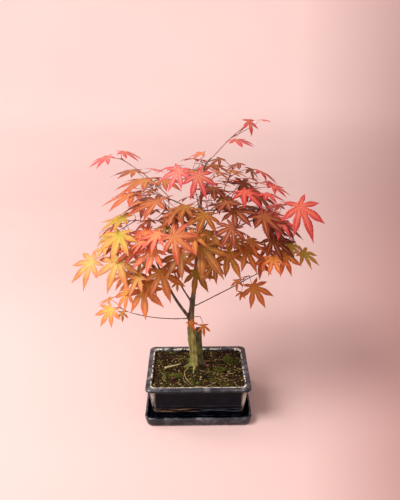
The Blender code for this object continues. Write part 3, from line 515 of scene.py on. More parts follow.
# %% The rows of a lobe
INNER_ROWS = 3                  # from the leaf's middle to the cuts between its lobes
OUTER_ROWS = 14                 # from the cuts to the tip; every second one is the point of a tooth
FEWER_ROWS = 4                  # on a short lobe
SHORT_LOBE = 0.55               # beside the leaf's length
CUT_DEPTH = 0.30                # how near the cuts come to the middle, beside the lobes' length
CUT_SPREAD = (0.9, 1.12)
NOTCH_DEPTH = 0.10
HALF_WIDTH = 0.146              # of a lobe, beside its length
WIDTH_SPREAD = (0.92, 1.08)
TOOTH = 0.085                   # how far a tooth stands out, beside the half width
TOOTH_GAP = -0.35               # the row between two teeth, beside a tooth
TOOTH_LEAN = 0.9                # how far a tooth leans towards the tip, beside its size
# A lobe's width along its length, from the cut to the tip
LOBE_PROFILE = ((0.0, 0.62), (0.30, 0.80), (0.42, 0.95), (0.50, 1.0), (0.60, 0.92), (0.70, 0.72),
                (0.80, 0.46), (0.88, 0.26), (0.95, 0.11), (1.0, 0.0))


def profile(t):
    for (t0, w0), (t1, w1) in zip(LOBE_PROFILE, LOBE_PROFILE[1:]):
        if t <= t1:
            return w0 + (w1 - w0) * (t - t0) / (t1 - t0)
    return 0.0


def flat_lobes(leaf):
    """Each lobe as (angle, length, bend), in order round the leaf."""
    flats = []
    for arm, bend in leaf.lobes:
        x, y = arm.dot(leaf.middle), arm.dot(leaf.right)
        flats.append((math.atan2(y, x), math.hypot(x, y), bend))
    return sorted(flats)


def cut_corners(leaf, flats, draw):
    """The inner ends of the cuts as (angle, distance). The row starts and ends at the notch for the stalk."""
    cuts = [(-math.pi, NOTCH_DEPTH * leaf.size)]
    for (a0, r0, _), (a1, r1, _) in zip(flats, flats[1:]):
        cuts.append(((a0 + a1) / 2, CUT_DEPTH * min(r0, r1) * draw.uniform(*CUT_SPREAD)))
    return cuts + [(math.pi, NOTCH_DEPTH * leaf.size)]


def lobe_rows(angle, length, cuts, leaf_size, draw):
    """The rows of a lobe: (point on the midrib, points on its two edges, share of the lobe's length)."""
    axis = Vector((math.cos(angle), math.sin(angle)))
    side = Vector((-axis.y, axis.x))
    corners = [Vector((math.cos(a), math.sin(a))) * r for a, r in cuts]
    ahead = [corner.dot(axis) for corner in corners]
    out = [abs(corner.dot(side)) for corner in corners]
    start = max(ahead) * 0.9
    widest = HALF_WIDTH * length * draw.uniform(*WIDTH_SPREAD)
    rows_out = OUTER_ROWS if length > SHORT_LOBE * leaf_size else OUTER_ROWS - FEWER_ROWS
    rows = []
    for k in range(INNER_ROWS + 1):
        share = k / INNER_ROWS
        rows.append((axis * (start * share), [corner * share for corner in corners], start * share / length))
    for k in range(1, rows_out + 1):
        share = k / rows_out
        t = start / length + (1 - start / length) * share
        spine = axis * (t * length)
        tooth = TOOTH * widest * (1 if k % 2 else TOOTH_GAP) * (1 - share ** 2)
        ease = (1 - share) ** 3
        margins = []
        for sign, cut_ahead, cut_out in zip((-1, 1), ahead, out):
            width = widest * profile(t) * (1 - ease) + cut_out * ease
            shift = (cut_ahead - start) * ease + max(tooth, 0) * TOOTH_LEAN
            margins.append(spine + axis * shift + side * (sign * (width + tooth * (share < 1))))
        rows.append((spine, margins, t))
    return rows


print("a lobe has up to", (INNER_ROWS + OUTER_ROWS) * 4, "faces a side")

# %% Lay out a leaf
LAYER_KINDS = {"along": "float", "across": "float", "breadth": "float", "number": "float",
               "bend": "float_vector", "face_up": "float_vector",
               "middle_colour": "float_color", "tip_colour": "float_color"}
COLUMNS = (-2, -1, 0, 1, 2)     # from one edge of a lobe over its midrib to the other
SAME_CORNER = 1e6               # two corners within a thousandth of a millimetre are one


def skin(bm, rows, normal):
    """Faces between rows of corners, all turned to one side."""
    for low, high in zip(rows, rows[1:]):
        for c in range(len(COLUMNS) - 1):
            corners = list(dict.fromkeys((low[c], low[c + 1], high[c + 1], high[c])))
            if len(corners) < 3 or bm.faces.get(corners):
                continue
            face = bm.faces.new(corners)
            face.normal_update()
            if face.normal.dot(normal) < 0:
                face.normal_flip()


def lay_out(leaf, bm, layers, colours, number, draw):
    """Add a flat leaf to a bmesh, with its layers filled in."""
    flats = flat_lobes(leaf)
    angles = [angle for angle, _, _ in flats]
    bends = [bend / length ** 2 for _, length, bend in flats]
    pull = Vector((0, 0, -1)) * SAG - leaf.normal * CUP
    cuts = cut_corners(leaf, flats, draw)
    made = {}

    def corner_at(spine, edge, column, along):
        """The corner at that place: a new one, or the one that the next lobe has there."""
        spot = spine.lerp(edge, abs(column) / 2)
        key = (round(spot.x * SAME_CORNER), round(spot.y * SAME_CORNER))
        if key not in made:
            vert = bm.verts.new(leaf.centre + leaf.middle * spot.x + leaf.right * spot.y)
            rate = float(np.interp(math.atan2(spot.y, spot.x), angles, bends))
            vert[layers["bend"]] = pull * (rate * math.hypot(spot.x, spot.y) ** 2)
            vert[layers["along"]] = along
            vert[layers["across"]] = column / 2
            vert[layers["breadth"]] = (edge - spine).length
            vert[layers["face_up"]] = leaf.normal
            vert[layers["middle_colour"]] = Vector((*colours[0], 1.0))
            vert[layers["tip_colour"]] = Vector((*colours[1], 1.0))
            vert[layers["number"]] = number
            made[key] = vert
        return made[key]

    for i, (angle, length, _) in enumerate(flats):
        rows = []
        for spine, margins, along in lobe_rows(angle, length, cuts[i:i + 2], leaf.size, draw):
            rows.append([corner_at(spine, margins[column >= 0], column, along) for column in COLUMNS])
        skin(bm, rows, leaf.normal)


print("each corner of a leaf carries", ", ".join(LAYER_KINDS))

# %% [markdown]
# ## Leaf and stalk finishes
#
# The leaf finish reads the corners' own values. It runs from the middle colour to the tip colour along each
# lobe, draws the midrib as a pale line and the side veins as finer ones that leave it at a slant, and
# breaks the colour up with blotches. The back is paler and duller. Light also comes through a leaf, so part
# of its shader is translucent. Stalks and new shoots are smooth and dark red.


# %% Leaf finish
def leaf_finish():
    f = Finish("leaf", roughness=0.42, Specular_IOR_Level=0.35)
    along, across = f.value("along"), f.math("ABSOLUTE", f.value("across"))
    blotch = f.noise(130, detail=3.0)
    share = f.plus(along, f.times(f.minus(blotch, 0.5), 0.9))
    share = f.plus(share, f.times(across, 0.34))
    flesh = f.mix(f.span(share, 0.08, 0.85), f.tint("middle_colour"), f.tint("tip_colour"))
    grain = f.noise(900, detail=4.0, roughness=0.7)
    flesh = f.mix(f.span(grain, 0.35, 0.75, 0.0, 0.35), flesh, (0.12, 0.03, 0.01), "MULTIPLY")
    spots = f.span(f.noise(420, detail=2.0), 0.66, 0.76, 0.0, 0.45)
    flesh = f.mix(spots, flesh, srgb(104, 44, 22))
    slant = f.minus(f.times(along, 16.0), f.times(across, 2.2))
    vein = f.math("ABSOLUTE", f.minus(f.math("FRACT", slant), 0.5))
    vein = f.span(vein, 0.10, 0.0, 0.0, 0.45)
    midrib = f.span(across, 0.16, 0.03)
    midrib = f.times(midrib, f.span(along, 0.95, 0.55))
    line = f.math("MAXIMUM", vein, midrib)
    pale = f.mix(0.5, flesh, srgb(250, 206, 120))
    flesh = f.mix(f.times(line, 0.85), flesh, pale)
    back = f.mix(0.35, flesh, srgb(206, 146, 96))
    flesh = f.mix(f.value("underside"), flesh, back)
    f.colour(flesh)
    f.drive("Roughness", f.span(grain, 0.3, 0.8, 0.34, 0.62))
    f.drive("Normal", f.bump(f.minus(f.times(grain, 0.3), line), 0.5, 0.0003))
    glow = f.node("ShaderNodeBsdfTranslucent", Color=flesh)
    both = f.node("ShaderNodeMixShader", Fac=0.34)
    f.tree.links.new(f.shader.outputs[0], both.inputs[1])
    f.tree.links.new(glow.outputs[0], both.inputs[2])
    f.tree.links.new(both.outputs[0], f.tree.nodes["Material Output"].inputs["Surface"])
    return f.mat


LEAF_FINISH = leaf_finish()
print("made", LEAF_FINISH.name)


# %% Stalk finish
def stalk_finish():
    f = Finish("stalk", roughness=0.45)
    tone = f.noise(160, detail=3.0)
    f.colour(f.ramp(tone, (0.30, srgb(92, 44, 34)), (0.52, srgb(128, 62, 40)), (0.72, srgb(150, 104, 56))))
    f.drive("Normal", f.bump(f.noise(1500), 0.3, 0.0002))
    return f.mat


STALK_FINISH = stalk_finish()
print("made", STALK_FINISH.name)

# %% [markdown]
# ## Bending a leaf
#
# This recipe takes flat leaves to their real shape. It moves each corner by its bend, folds each lobe a
# little along its midrib, ripples the blade, and gives it a thickness by copying the sheet downwards.
# `underside` marks the lower copy, because the back of a leaf is paler.


# %% The leaf recipe
def leaf_recipe():
    r = Recipe("leaf_bending", Bend=1.0, Fold=0.16, Ripple=0.00045, RippleSize=120.0, Thickness=0.00022,
               Seed=7.0)
    bend = r.scale(r.attribute("bend", "FLOAT_VECTOR"), r.given("Bend"))
    up = r.attribute("face_up", "FLOAT_VECTOR")
    across = r.math("ABSOLUTE", r.attribute("across"))
    lift = r.times(r.times(across, r.attribute("breadth")), r.given("Fold"))
    place = r.scale(r.node("GeometryNodeInputPosition").outputs[0], r.given("RippleSize"))
    turn = r.node("ShaderNodeCombineXYZ", X=r.attribute("number"), Y=r.given("Seed")).outputs[0]
    wave = r.node("ShaderNodeTexNoise", Vector=r.shift(place, turn), Scale=1.0, Detail=1.0).outputs["Fac"]
    wave = r.times(r.minus(wave, 0.5), r.times(r.given("Ripple"), 4.0))
    wave = r.times(wave, r.attribute("along"))
    move = r.shift(bend, r.scale(up, r.plus(lift, wave)))
    sheet = r.node("GeometryNodeSetPosition", Geometry=r.mesh, Offset=move).outputs[0]
    down = r.scale(up, r.times(r.given("Thickness"), -1.0))
    wall = r.node("GeometryNodeExtrudeMesh", {"mode": "FACES"}, Mesh=sheet, Offset=down,
                  Offset_Scale=1.0, Individual=False)
    under = r.store(wall.outputs["Mesh"], "underside", wall.outputs["Top"])
    under = r.node("GeometryNodeFlipFaces", Mesh=under).outputs[0]
    both = r.joined(under, r.store(sheet, "underside", 0.0))
    closed = r.node("GeometryNodeMergeByDistance", Geometry=both, Distance=1e-7).outputs[0]
    smooth = r.node("GeometryNodeSetShadeSmooth", Geometry=closed, Shade_Smooth=True).outputs[0]
    r.serve(smooth, LEAF_FINISH)
    return r


LEAF_BENDING = leaf_recipe()
print("inputs:", sorted(LEAF_BENDING.ids))

# %% [markdown]
# ## Dressing every shoot
#
# Each shoot becomes one piece. Its leaves are laid out and bent by the recipe, and its stem and stalks come
# from the frame, rounded by subdivision. The open ends of the stalks are pulled up to meet the thin new
# blades.

# %% Build the shoots
STALK_REACH = 0.32 * MM         # from the end of a stalk in the frame up to the thin blade
STALK_TAPER = 0.7               # the end of a stalk is this much narrower
SHADES = (0.82, 1.16)           # how dark or light a leaf may be
WARMTHS = (0.90, 1.12)          # how red or yellow
SEED_STEP = 0.37                # between the ripples of two leaves


def stems_of(node, leaves, stems):
    """The shoot and its stalks as a rounded mesh."""
    edges = [e for e in stems.edges if e.is_boundary]
    for vert in {v for e in edges for v in e.verts}:
        leaf = min(leaves, key=lambda item: (item.centre - vert.co).length)
        middle = leaf.centre - leaf.normal * BLADE_HALF
        vert.co = middle + (vert.co - middle) * STALK_TAPER + leaf.normal * STALK_REACH
    bmesh.ops.holes_fill(stems, edges=edges, sides=0)
    stems.normal_update()
    return finished(rounded(link(node + "_stems", mesh_of(stems, node + "_stems")), 2), STALK_FINISH)


def blades_of(node, leaves, seed):
    """All the leaves of a shoot as one mesh of bent blades."""
    bm = bmesh.new()
    layers = {name: getattr(bm.verts.layers, kind).new(name) for name, kind in LAYER_KINDS.items()}
    draw = random.Random(seed)
    colours = PALETTES[SHOOT_PALETTE[node]]
    for number, leaf in enumerate(leaves):
        shade = draw.uniform(*SHADES)
        warm = draw.uniform(*WARMTHS)
        toned = [(c[0] * shade, c[1] * shade * warm, c[2] * shade) for c in colours]
        lay_out(leaf, bm, layers, toned, seed + number * SEED_STEP, draw)
    return cook(link(node + "_blades", mesh_of(bm, node + "_blades")), LEAF_BENDING)


def joined(name, *parts):
    """Several objects as one."""
    with bpy.context.temp_override(active_object=parts[0], selected_editable_objects=list(parts)):
        bpy.ops.object.join()
    parts[0].name = parts[0].data.name = name
    return parts[0]


SLOTS = {part["node"]: part["material_slot"] for part in frame["record"]["subparts"]}
leaf_count = face_count = 0
for seed, name in enumerate(SHOOTS):
    leaves, stems = read_shoot(name)
    grown = joined("grown_" + name, blades_of(name, leaves, seed), stems_of(name, leaves, stems))
    piece(grown, SLOTS[name], name)
    leaf_count += len(leaves)
    face_count += triangles(grown)
print(len(SHOOTS), "shoots with", leaf_count, "leaves,", face_count, "triangles")

# %% [markdown]
# ## The trunk
#
# The old trunk forks just above the soil. Its left stem grew on and is green with age and algae; the right
# one was cut off long ago and is dark. The frame's wood is a joined set of plain tubes. A finer copy is
# made by subdividing it once and remeshing it into even small faces, which also melts the joints together.
# Then every corner is moved along its normal by bark relief: long furrows and knobs low down, and less and
# less higher up.

# %% Trunk
TRUNK_VOXEL = 0.55 * MM
OLD_BARK_TOP = 60 * MM          # above the soil; the bark gets smoother from there
SMOOTH_BARK = 75 * MM           # above this it is young and smooth
YOUNG_RELIEF = 0.35
STUMP_TOP = 70 * MM
STUMP_AXIS = (Vector((0.003, 0.013, 0.045)), Vector((0.0012, 0.010, 0.122)))
STEM_AXIS = (Vector((-0.003, 0.012, 0.045)), Vector((-0.010, 0.009, 0.123)))


def off_axis(point, axis):
    low, high = axis
    share = min(max((point.z - low.z) / (high.z - low.z), 0.0), 1.0)
    centre = low.lerp(high, share)
    return (Vector((point.x, point.y)) - Vector((centre.x, centre.y))).length


def make_trunk():
    obj = link("old_wood", mesh_of(merged("trunk"), "old_wood"))
    first = obj.modifiers.new("round", "SUBSURF")
    first.levels = first.render_levels = 1
    even = obj.modifiers.new("even", "REMESH")
    even.mode = "VOXEL"
    even.voxel_size = TRUNK_VOXEL
    soft = obj.modifiers.new("soft", "SMOOTH")
    soft.factor, soft.iterations = 0.5, 3
    applied(obj)
    mesh = obj.data
    count = len(mesh.vertices)
    normals = [v.normal.copy() for v in mesh.vertices]
    dark = [0.0] * count
    soil_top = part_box("soil")[1].z
    for i, v in enumerate(mesh.vertices):
        p = v.co
        height = p.z - soil_top
        thick = max(0.0, 1 - max(height - OLD_BARK_TOP, 0) / (90 * MM))
        thick *= 1 - min(off_axis(p, STEM_AXIS) / 0.05, 1)
        furrow = noise.fractal(Vector((p.x * 420, p.y * 420, p.z * 110)), 1.0, 2.1, 4)
        knob = noise.noise(Vector((p.x * 150, p.y * 150, p.z * 70 + 4)))
        scale = noise.voronoi(Vector((p.x * 500, p.y * 500, p.z * 260)))[0][0]
        relief = (0.35 * furrow + 0.5 * knob - 0.45 * scale) * MM * (0.22 + 0.95 * thick)
        if height > SMOOTH_BARK:
            relief *= YOUNG_RELIEF
        v.co = p + normals[i] * relief
        on_stump = off_axis(p, STUMP_AXIS) < off_axis(p, STEM_AXIS) and height < STUMP_TOP
        dark[i] = 1.0 if on_stump else 0.0
    mesh.attributes.new("stump", "FLOAT", "POINT").data.foreach_set("value", dark)
    mesh.shade_smooth()
    return obj


print("the trunk gets bark relief in steps of", TRUNK_VOXEL, "m")


# %% Bark
def bark_finish():
    f = Finish("bark", roughness=0.8)
    _, _, height = f.across_and_up()
    streak = f.noise(260, detail=6.0, stretch=(1, 1, 0.22))
    fleck = f.noise(900, detail=4.0, roughness=0.7)
    patch = f.noise(70, detail=3.0)
    green = f.ramp(streak, (0.28, srgb(74, 64, 34)), (0.45, srgb(130, 128, 62)), (0.60, srgb(176, 172, 98)),
                   (0.75, srgb(216, 208, 144)))
    dark = f.ramp(streak, (0.30, srgb(12, 8, 6)), (0.55, srgb(30, 23, 15)), (0.75, srgb(58, 48, 28)))
    young = f.ramp(streak, (0.30, srgb(48, 38, 32)), (0.55, srgb(84, 70, 54)), (0.72, srgb(122, 108, 82)))
    tone = f.mix(f.times(f.value("stump"), f.span(patch, 0.3, 0.6, 1.0, 0.75)), green, dark)
    tone = f.mix(f.span(height, 0.112, 0.150), tone, young)
    moss = f.times(f.span(patch, 0.44, 0.56), f.span(height, 0.125, 0.075))
    tone = f.mix(f.times(moss, 0.75), tone, f.ramp(fleck, (0.35, srgb(46, 62, 14)),
                                                              (0.65, srgb(112, 124, 40))))
    tone = f.mix(f.span(fleck, 0.58, 0.72, 0.0, 0.55), tone, srgb(214, 206, 160))
    tone = f.mix(f.span(fleck, 0.42, 0.30, 0.0, 0.6), tone, srgb(30, 24, 14))
    f.colour(tone)
    f.drive("Roughness", f.span(streak, 0.3, 0.7, 0.9, 0.6))
    relief = f.plus(streak, f.times(fleck, 0.5))
    f.drive("Normal", f.bump(relief, 0.8, 0.0008))
    return f.mat


trunk = piece(finished(make_trunk(), bark_finish()), "bark", "trunk")
print("trunk:", triangles(trunk), "triangles")

# %% [markdown]
# ## Pot and tray
#
# Both are slip-cast and dipped in a dark blue-black glaze. The glaze runs thin on edges, where the clay shows
# through cream and pale grey. A paler grey on the lip's top, along the lip's lower edge and on the tray's
# outer wall is painted reflection, a pale streak down each corner of the pot is a painted highlight, and pale
# grey specks all over are painted glints. Lighter bands lie low down at the front. The frame gives the sizes;
# here the walls are laid up again from many more rings, with soft uneven edges, and thrown slightly out of
# true as real clay is. A corner's `edge` value is worked out from the shape and says how close it is to a
# rim; it sets both the wear and the painted reflection.

# %% Pot and tray shapes
CORNER_STEPS = 9
SIDE_STEPS = 26


def clay_ring(half_x, half_y, radius, z):
    """Points round a rounded rectangle, evenly along its sides, anticlockwise."""
    points = []
    for corner, (sx, sy) in enumerate(((1, 1), (-1, 1), (-1, -1), (1, -1))):
        centre = Vector((sx * (half_x - radius), sy * (half_y - radius), z))
        for step in range(CORNER_STEPS + 1):
            angle = math.radians(90 * (corner + step / CORNER_STEPS))
            points.append(centre + Vector((math.cos(angle), math.sin(angle), 0)) * radius)
        following = ((-1, 1), (-1, -1), (1, -1), (1, 1))[corner]
        after = Vector((following[0] * (half_x - radius), following[1] * (half_y - radius), z))
        angle = math.radians(90 * (corner + 1))
        after += Vector((math.cos(angle), math.sin(angle), 0)) * radius
        for step in range(1, SIDE_STEPS):
            corner_end = points[(CORNER_STEPS + SIDE_STEPS) * corner + CORNER_STEPS]
            points.append(corner_end.lerp(after, step / SIDE_STEPS))
    return points


def clay_body(name, rings, wobble):
    """A closed body through pairs of a ring and its value for wear and painted reflection, a little out of
    true. Its first and last rings are filled.
    """
    bm = bmesh.new()
    wear_and_sheen_layer = bm.verts.layers.float.new("edge")
    loops = []
    for ring, wear_and_sheen in rings:
        loop = []
        for p in ring:
            shift = Vector(noise.noise_vector(p * 22)) * wobble
            shift += Vector(noise.noise_vector(p * 120)) * wobble * 0.25
            shift.z *= 0.5 if p.z > 0.0005 else 0.0
            vert = bm.verts.new(p + shift)
            vert[wear_and_sheen_layer] = wear_and_sheen
            loop.append(vert)
        loops.append(loop)
    count = len(loops[0])
    for low, high in zip(loops, loops[1:]):
        for i in range(count):
            bm.faces.new((low[i], low[(i + 1) % count], high[(i + 1) % count], high[i]))
    for loop in (loops[0], loops[-1]):
        bm.faces.new(loop)
    bmesh.ops.recalc_face_normals(bm, faces=bm.faces)
    return link(name, mesh_of(bm, name))


def rounded_steps(outer_x, outer_y, corner, z0, z1, wall, lean, r, outside, inside):
    """Rings over a rim: up the outside, over the rounded top and down the inside, each with its value for
    wear and painted reflection.
    """
    rings = []
    crown = z1 - r
    for share in (0.0, 0.25, 0.5, 0.75, 1.0):
        z = z0 + (crown - z0) * share
        out = lean * (share - 1)
        rings.append((clay_ring(outer_x + out, outer_y + out, corner, z), outside + 0.06 * share))
    # Over the rounded top the grey is thin glaze and painted reflection.
    for angle in (20, 45, 70, 90):
        a = math.radians(angle)
        inset = r * (1 - math.cos(a))
        rings.append((clay_ring(outer_x - inset, outer_y - inset, corner, crown + r * math.sin(a)), 0.40))
    rings.append((clay_ring(outer_x - wall / 2, outer_y - wall / 2, corner * 0.9, z1), 0.46))
    for angle in (90, 65, 40, 15):
        a = math.radians(angle)
        inset = wall - r * (1 - math.cos(a))
        ring = clay_ring(outer_x - inset, outer_y - inset, corner * 0.8, crown + r * math.sin(a))
        rings.append((ring, inside))
    return rings


# %% Tray
_, TRAY_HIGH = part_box("drip_tray")
POT_LOW, POT_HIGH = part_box("pot")
CLAY_WOBBLE = 0.22 * MM
TRAY_WALL = 3.5 * MM
TRAY_FLARE = 1.5 * MM           # how far its wall leans out
TRAY_FLOOR = 4 * MM
TRAY_CORNER = 11 * MM
TRAY_ROUND = 3 * MM             # round its underside
TRAY_RIM_ROUND = 1.5 * MM


def make_tray():
    x, y, top = TRAY_HIGH.x, TRAY_HIGH.y, TRAY_HIGH.z
    low_x, low_y = x - TRAY_FLARE, y - TRAY_FLARE
    r = TRAY_ROUND
    rings = []
    for angle in (0, 30, 60):
        a = math.radians(angle)
        inset = r * (1 - math.sin(a))
        ring = clay_ring(low_x - inset, low_y - inset, TRAY_CORNER - inset / 2, r * (1 - math.cos(a)))
        rings.append((ring, 0.3))
    # The outside value of 0.30 greys the tray's outer wall: painted reflection.
    rings += rounded_steps(x, y, TRAY_CORNER, r, top, TRAY_WALL, TRAY_FLARE, TRAY_RIM_ROUND,
                           outside=0.30, inside=0.55)
    inner_x, inner_y = low_x - TRAY_WALL, low_y - TRAY_WALL
    for share in (0.5, 0.2, 0.0):
        z = TRAY_FLOOR + 0.0015 + (top - TRAY_FLOOR - 0.004) * share
        out = TRAY_FLARE * share
        rings.append((clay_ring(inner_x + out, inner_y + out, TRAY_CORNER * 0.8, z), 0.1))
    rings.append((clay_ring(inner_x - 0.0015, inner_y - 0.0015, TRAY_CORNER * 0.8, TRAY_FLOOR), 0.1))
    return clay_body("glazed_tray", rings, CLAY_WOBBLE)


print("tray", round(2 * TRAY_HIGH.x, 4), "wide,", round(TRAY_HIGH.z, 4), "high")

# %% Pot
POT_WALL = 4.5 * MM
POT_LEAN = 6 * MM               # how far its walls lean in, from the lip down
POT_FLOOR = 5 * MM
POT_CORNER = 8 * MM
LIP_REACH = 4.2 * MM
LIP_THICKNESS = 4.8 * MM
LIP_ROUND = 1.6 * MM
LIP_EDGE = 0.3 * MM             # how far the lip's lower edge is taken off
FOOT_HEIGHT = 3 * MM
FOOT_HALF, FOOT_CORNER, FOOT_INSET = 8 * MM, 4 * MM, 11 * MM
HOLE_RADIUS, HOLE_PLACE = 5.5 * MM, 28 * MM


def block(name, ring, low, high):
    bm = bmesh.new()
    loops = [[bm.verts.new((p.x, p.y, z)) for p in ring] for z in (low, high)]
    for i in range(len(ring)):
        j = (i + 1) % len(ring)
        bm.faces.new((loops[0][i], loops[0][j], loops[1][j], loops[1][i]))
    for loop in loops:
        bm.faces.new(loop)
    bmesh.ops.recalc_face_normals(bm, faces=bm.faces)
    return link(name, mesh_of(bm, name, smooth=False))


def make_pot():
    top = POT_HIGH.z
    under = POT_LOW.z + FOOT_HEIGHT
    lip_under = top - LIP_THICKNESS
    wall_x, wall_y = POT_HIGH.x - LIP_REACH, POT_HIGH.y - LIP_REACH
    rings = []
    for inset, lift, wear_and_sheen in ((2 * MM, 0.0, 0.5), (0.6 * MM, 0.6 * MM, 0.6)):
        ring = clay_ring(wall_x - POT_LEAN - inset, wall_y - POT_LEAN - inset, POT_CORNER, under + lift)
        rings.append((ring, wear_and_sheen))
    for share in (0.04, 0.12, 0.25, 0.4, 0.55, 0.7, 0.85, 0.97):
        out = POT_LEAN * (share - 1)
        ring = clay_ring(wall_x + out, wall_y + out, POT_CORNER, under + (lip_under - under) * share)
        rings.append((ring, 0.35 if share < 0.1 else 0.0))
    # The ring on the lip's lower edge has 0.42: a painted highlight line along it.
    for inset, lift, wear_and_sheen in ((LIP_REACH - 0.8 * MM, 0.0, 0.0), (LIP_ROUND, 0.0, 0.2),
                              (LIP_EDGE, 0.6 * MM, 0.42)):
        rings.append((clay_ring(POT_HIGH.x - inset, POT_HIGH.y - inset, POT_CORNER, lip_under + lift), wear_and_sheen))
    rings += rounded_steps(POT_HIGH.x, POT_HIGH.y, POT_CORNER, lip_under + LIP_ROUND, top,
                           LIP_REACH + POT_WALL, 0.0, LIP_ROUND, outside=0.16, inside=1.0)
    for share in (0.9, 0.7, 0.4, 0.0):
        out = POT_LEAN * (share - 1) - POT_WALL
        z = under + POT_FLOOR + (lip_under - under - POT_FLOOR) * share
        rings.append((clay_ring(wall_x + out, wall_y + out, POT_CORNER * 0.8, z), 0.0))
    pot = clay_body("glazed_pot", rings, CLAY_WOBBLE)
    joins = []
    for sx in (-1, 1):
        for sy in (-1, 1):
            foot = clay_ring(FOOT_HALF, FOOT_HALF, FOOT_CORNER, 0)
            x, y = sx * (wall_x - POT_LEAN - FOOT_INSET), sy * (wall_y - POT_LEAN - FOOT_INSET)
            foot = [p + Vector((x, y, 0)) for p in foot[::6]]
            joins.append((block("foot", foot, POT_LOW.z, under + POT_FLOOR / 2), "UNION"))
    for side in (-1, 1):
        hole = [Vector((side * HOLE_PLACE + HOLE_RADIUS * math.cos(a), HOLE_RADIUS * math.sin(a), 0))
                for a in (2 * math.pi * k / 24 for k in range(24))]
        joins.append((block("hole", hole, 0, under + 2 * POT_FLOOR), "DIFFERENCE"))
    for other, operation in joins:
        step = pot.modifiers.new("join", "BOOLEAN")
        step.operation, step.solver, step.object = operation, "EXACT", other
    applied(pot)
    for other, _ in joins:
        bpy.data.objects.remove(other, do_unlink=True)
    pot.data.shade_smooth()
    pot.data.set_sharp_from_angle(angle=math.radians(50))
    return pot


print("pot", round(2 * POT_HIGH.x, 4), "wide,", round(POT_HIGH.z - POT_LOW.z, 4), "high")


# %% Glaze
def glaze_finish():
    f = Finish("glaze", roughness=0.12, Specular_IOR_Level=0.09)
    edge = f.value("edge")
    x, y, z = f.across_and_up()
    cloud = f.noise(60, detail=6.0, roughness=0.6, distortion=0.8)
    highlight_streaks = f.noise(110, detail=4.0, stretch=(1, 1, 0.3))
    fine = f.noise(420, detail=5.0, roughness=0.65)
    rough_edge = f.noise(150, detail=6.0, roughness=0.7, distortion=0.8)
    deep = f.ramp(cloud, (0.35, srgb(3, 5, 10)), (0.60, srgb(8, 11, 22)), (0.75, srgb(22, 28, 44)))
    grey_wear_and_sheen = f.ramp(cloud, (0.34, srgb(14, 18, 28)), (0.48, srgb(40, 46, 56)), (0.60, srgb(90, 94, 100)),
                   (0.74, srgb(150, 147, 144)))
    front = f.span(y, -0.044, -0.049, 0.0, 0.20)
    front = f.times(front, f.span(edge, 0.8, 1.0))
    bare = f.plus(edge, f.times(f.minus(rough_edge, 0.5), 1.5))
    bare = f.plus(bare, front)
    clay = f.span(bare, 0.98, 1.08)
    # A pale streak down each vertical corner of the body: a painted highlight.
    corner = f.times(f.span(f.math("ABSOLUTE", x), 0.0605, 0.0650),
                     f.span(f.math("ABSOLUTE", y), 0.0435, 0.0475))
    corner = f.times(f.times(corner, f.span(highlight_streaks, 0.44, 0.62)), f.span(edge, 0.12, 0.02))
    # The grey mixed in by `edge` is thin glaze on the rims and painted reflection on the lip's top, the lip's
    # lower edge and the tray's outer wall.
    tone = f.mix(f.span(edge, 0.12, 0.55, 0.0, 0.9), deep, grey_wear_and_sheen)
    tone = f.mix(f.times(corner, 0.9), tone, srgb(196, 190, 178))
    # Lighter bands low on the front face and a thin line at 28.5 mm, warm on the left and grey-blue on the
    # right.
    low = f.times(f.span(z, 0.0165, 0.0190), f.span(z, 0.0250, 0.0215))
    line = f.span(f.math("ABSOLUTE", f.minus(z, 0.0285)), 0.0008, 0.0002, 0.0, 0.6)
    front_bands = f.span(f.noise(260, stretch=(0.12, 1, 2.0)), 0.47, 0.60, 0.0, 0.62)
    front_bands = f.times(f.times(f.math("MAXIMUM", low, line), front_bands), f.span(y, -0.038, -0.042))
    tone = f.mix(front_bands, tone, f.mix(f.span(x, -0.012, 0.010), srgb(164, 138, 108), srgb(92, 100, 106)))
    tone = f.mix(clay, tone, f.ramp(fine, (0.3, srgb(190, 178, 150)), (0.6, srgb(240, 234, 216))))
    # Pale grey specks all over the glaze: painted glints.
    painted_glints = f.span(fine, 0.71, 0.76, 0.0, 0.6)
    tone = f.mix(painted_glints, tone, srgb(150, 150, 146))
    f.colour(tone)
    f.drive("Roughness", f.plus(f.span(fine, 0.3, 0.8, 0.06, 0.18), f.times(clay, 0.45)))
    f.drive("Specular IOR Level", f.span(edge, 0.05, 0.4, 0.09, 0.5))
    peel = f.noise(240, detail=2.0)
    relief = f.plus(peel, f.times(cloud, 2.0))
    f.drive("Normal", f.bump(relief, 0.3, 0.0007))
    return f.mat


GLAZE = glaze_finish()
for made, node in ((make_tray(), "drip_tray"), (make_pot(), "pot")):
    piece(finished(made, GLAZE), "glaze", node)
    print(made.name, triangles(made), "triangles")

# %% [markdown]
# ## Soil
#
# The soil is an open, gritty mix: brown crumbs, chips of bark, pale grit and dry fibres, with a green film
# where it stays wet. Under it all is a bumpy surface that follows the frame. On that surface a recipe
# scatters three kinds of small shapes, each with a number of its own that the finish turns into a colour.

# %% Soil surface
SOIL_LOW, SOIL_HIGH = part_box("soil")
SOIL_GRID = (96, 72)
SOIL_CORNER = 8 * MM
SOIL_LEVEL = SOIL_HIGH.z - 2.2 * MM     # away from the rise round the trunk


def soil_surface():
    """The height of the frame's soil at a place. Over the hollow round the trunk, it is the usual height."""
    bm = merged("soil")
    tree = BVHTree.FromBMesh(bm)
    bm.free()

    def height(x, y):
        hit, _, _, _ = tree.ray_cast(Vector((x, y, 0.2)), Vector((0, 0, -1)))
        if hit is None or hit.z < SOIL_LEVEL - 2 * MM:
            return SOIL_LEVEL + 0.8 * MM
        return hit.z

    return height


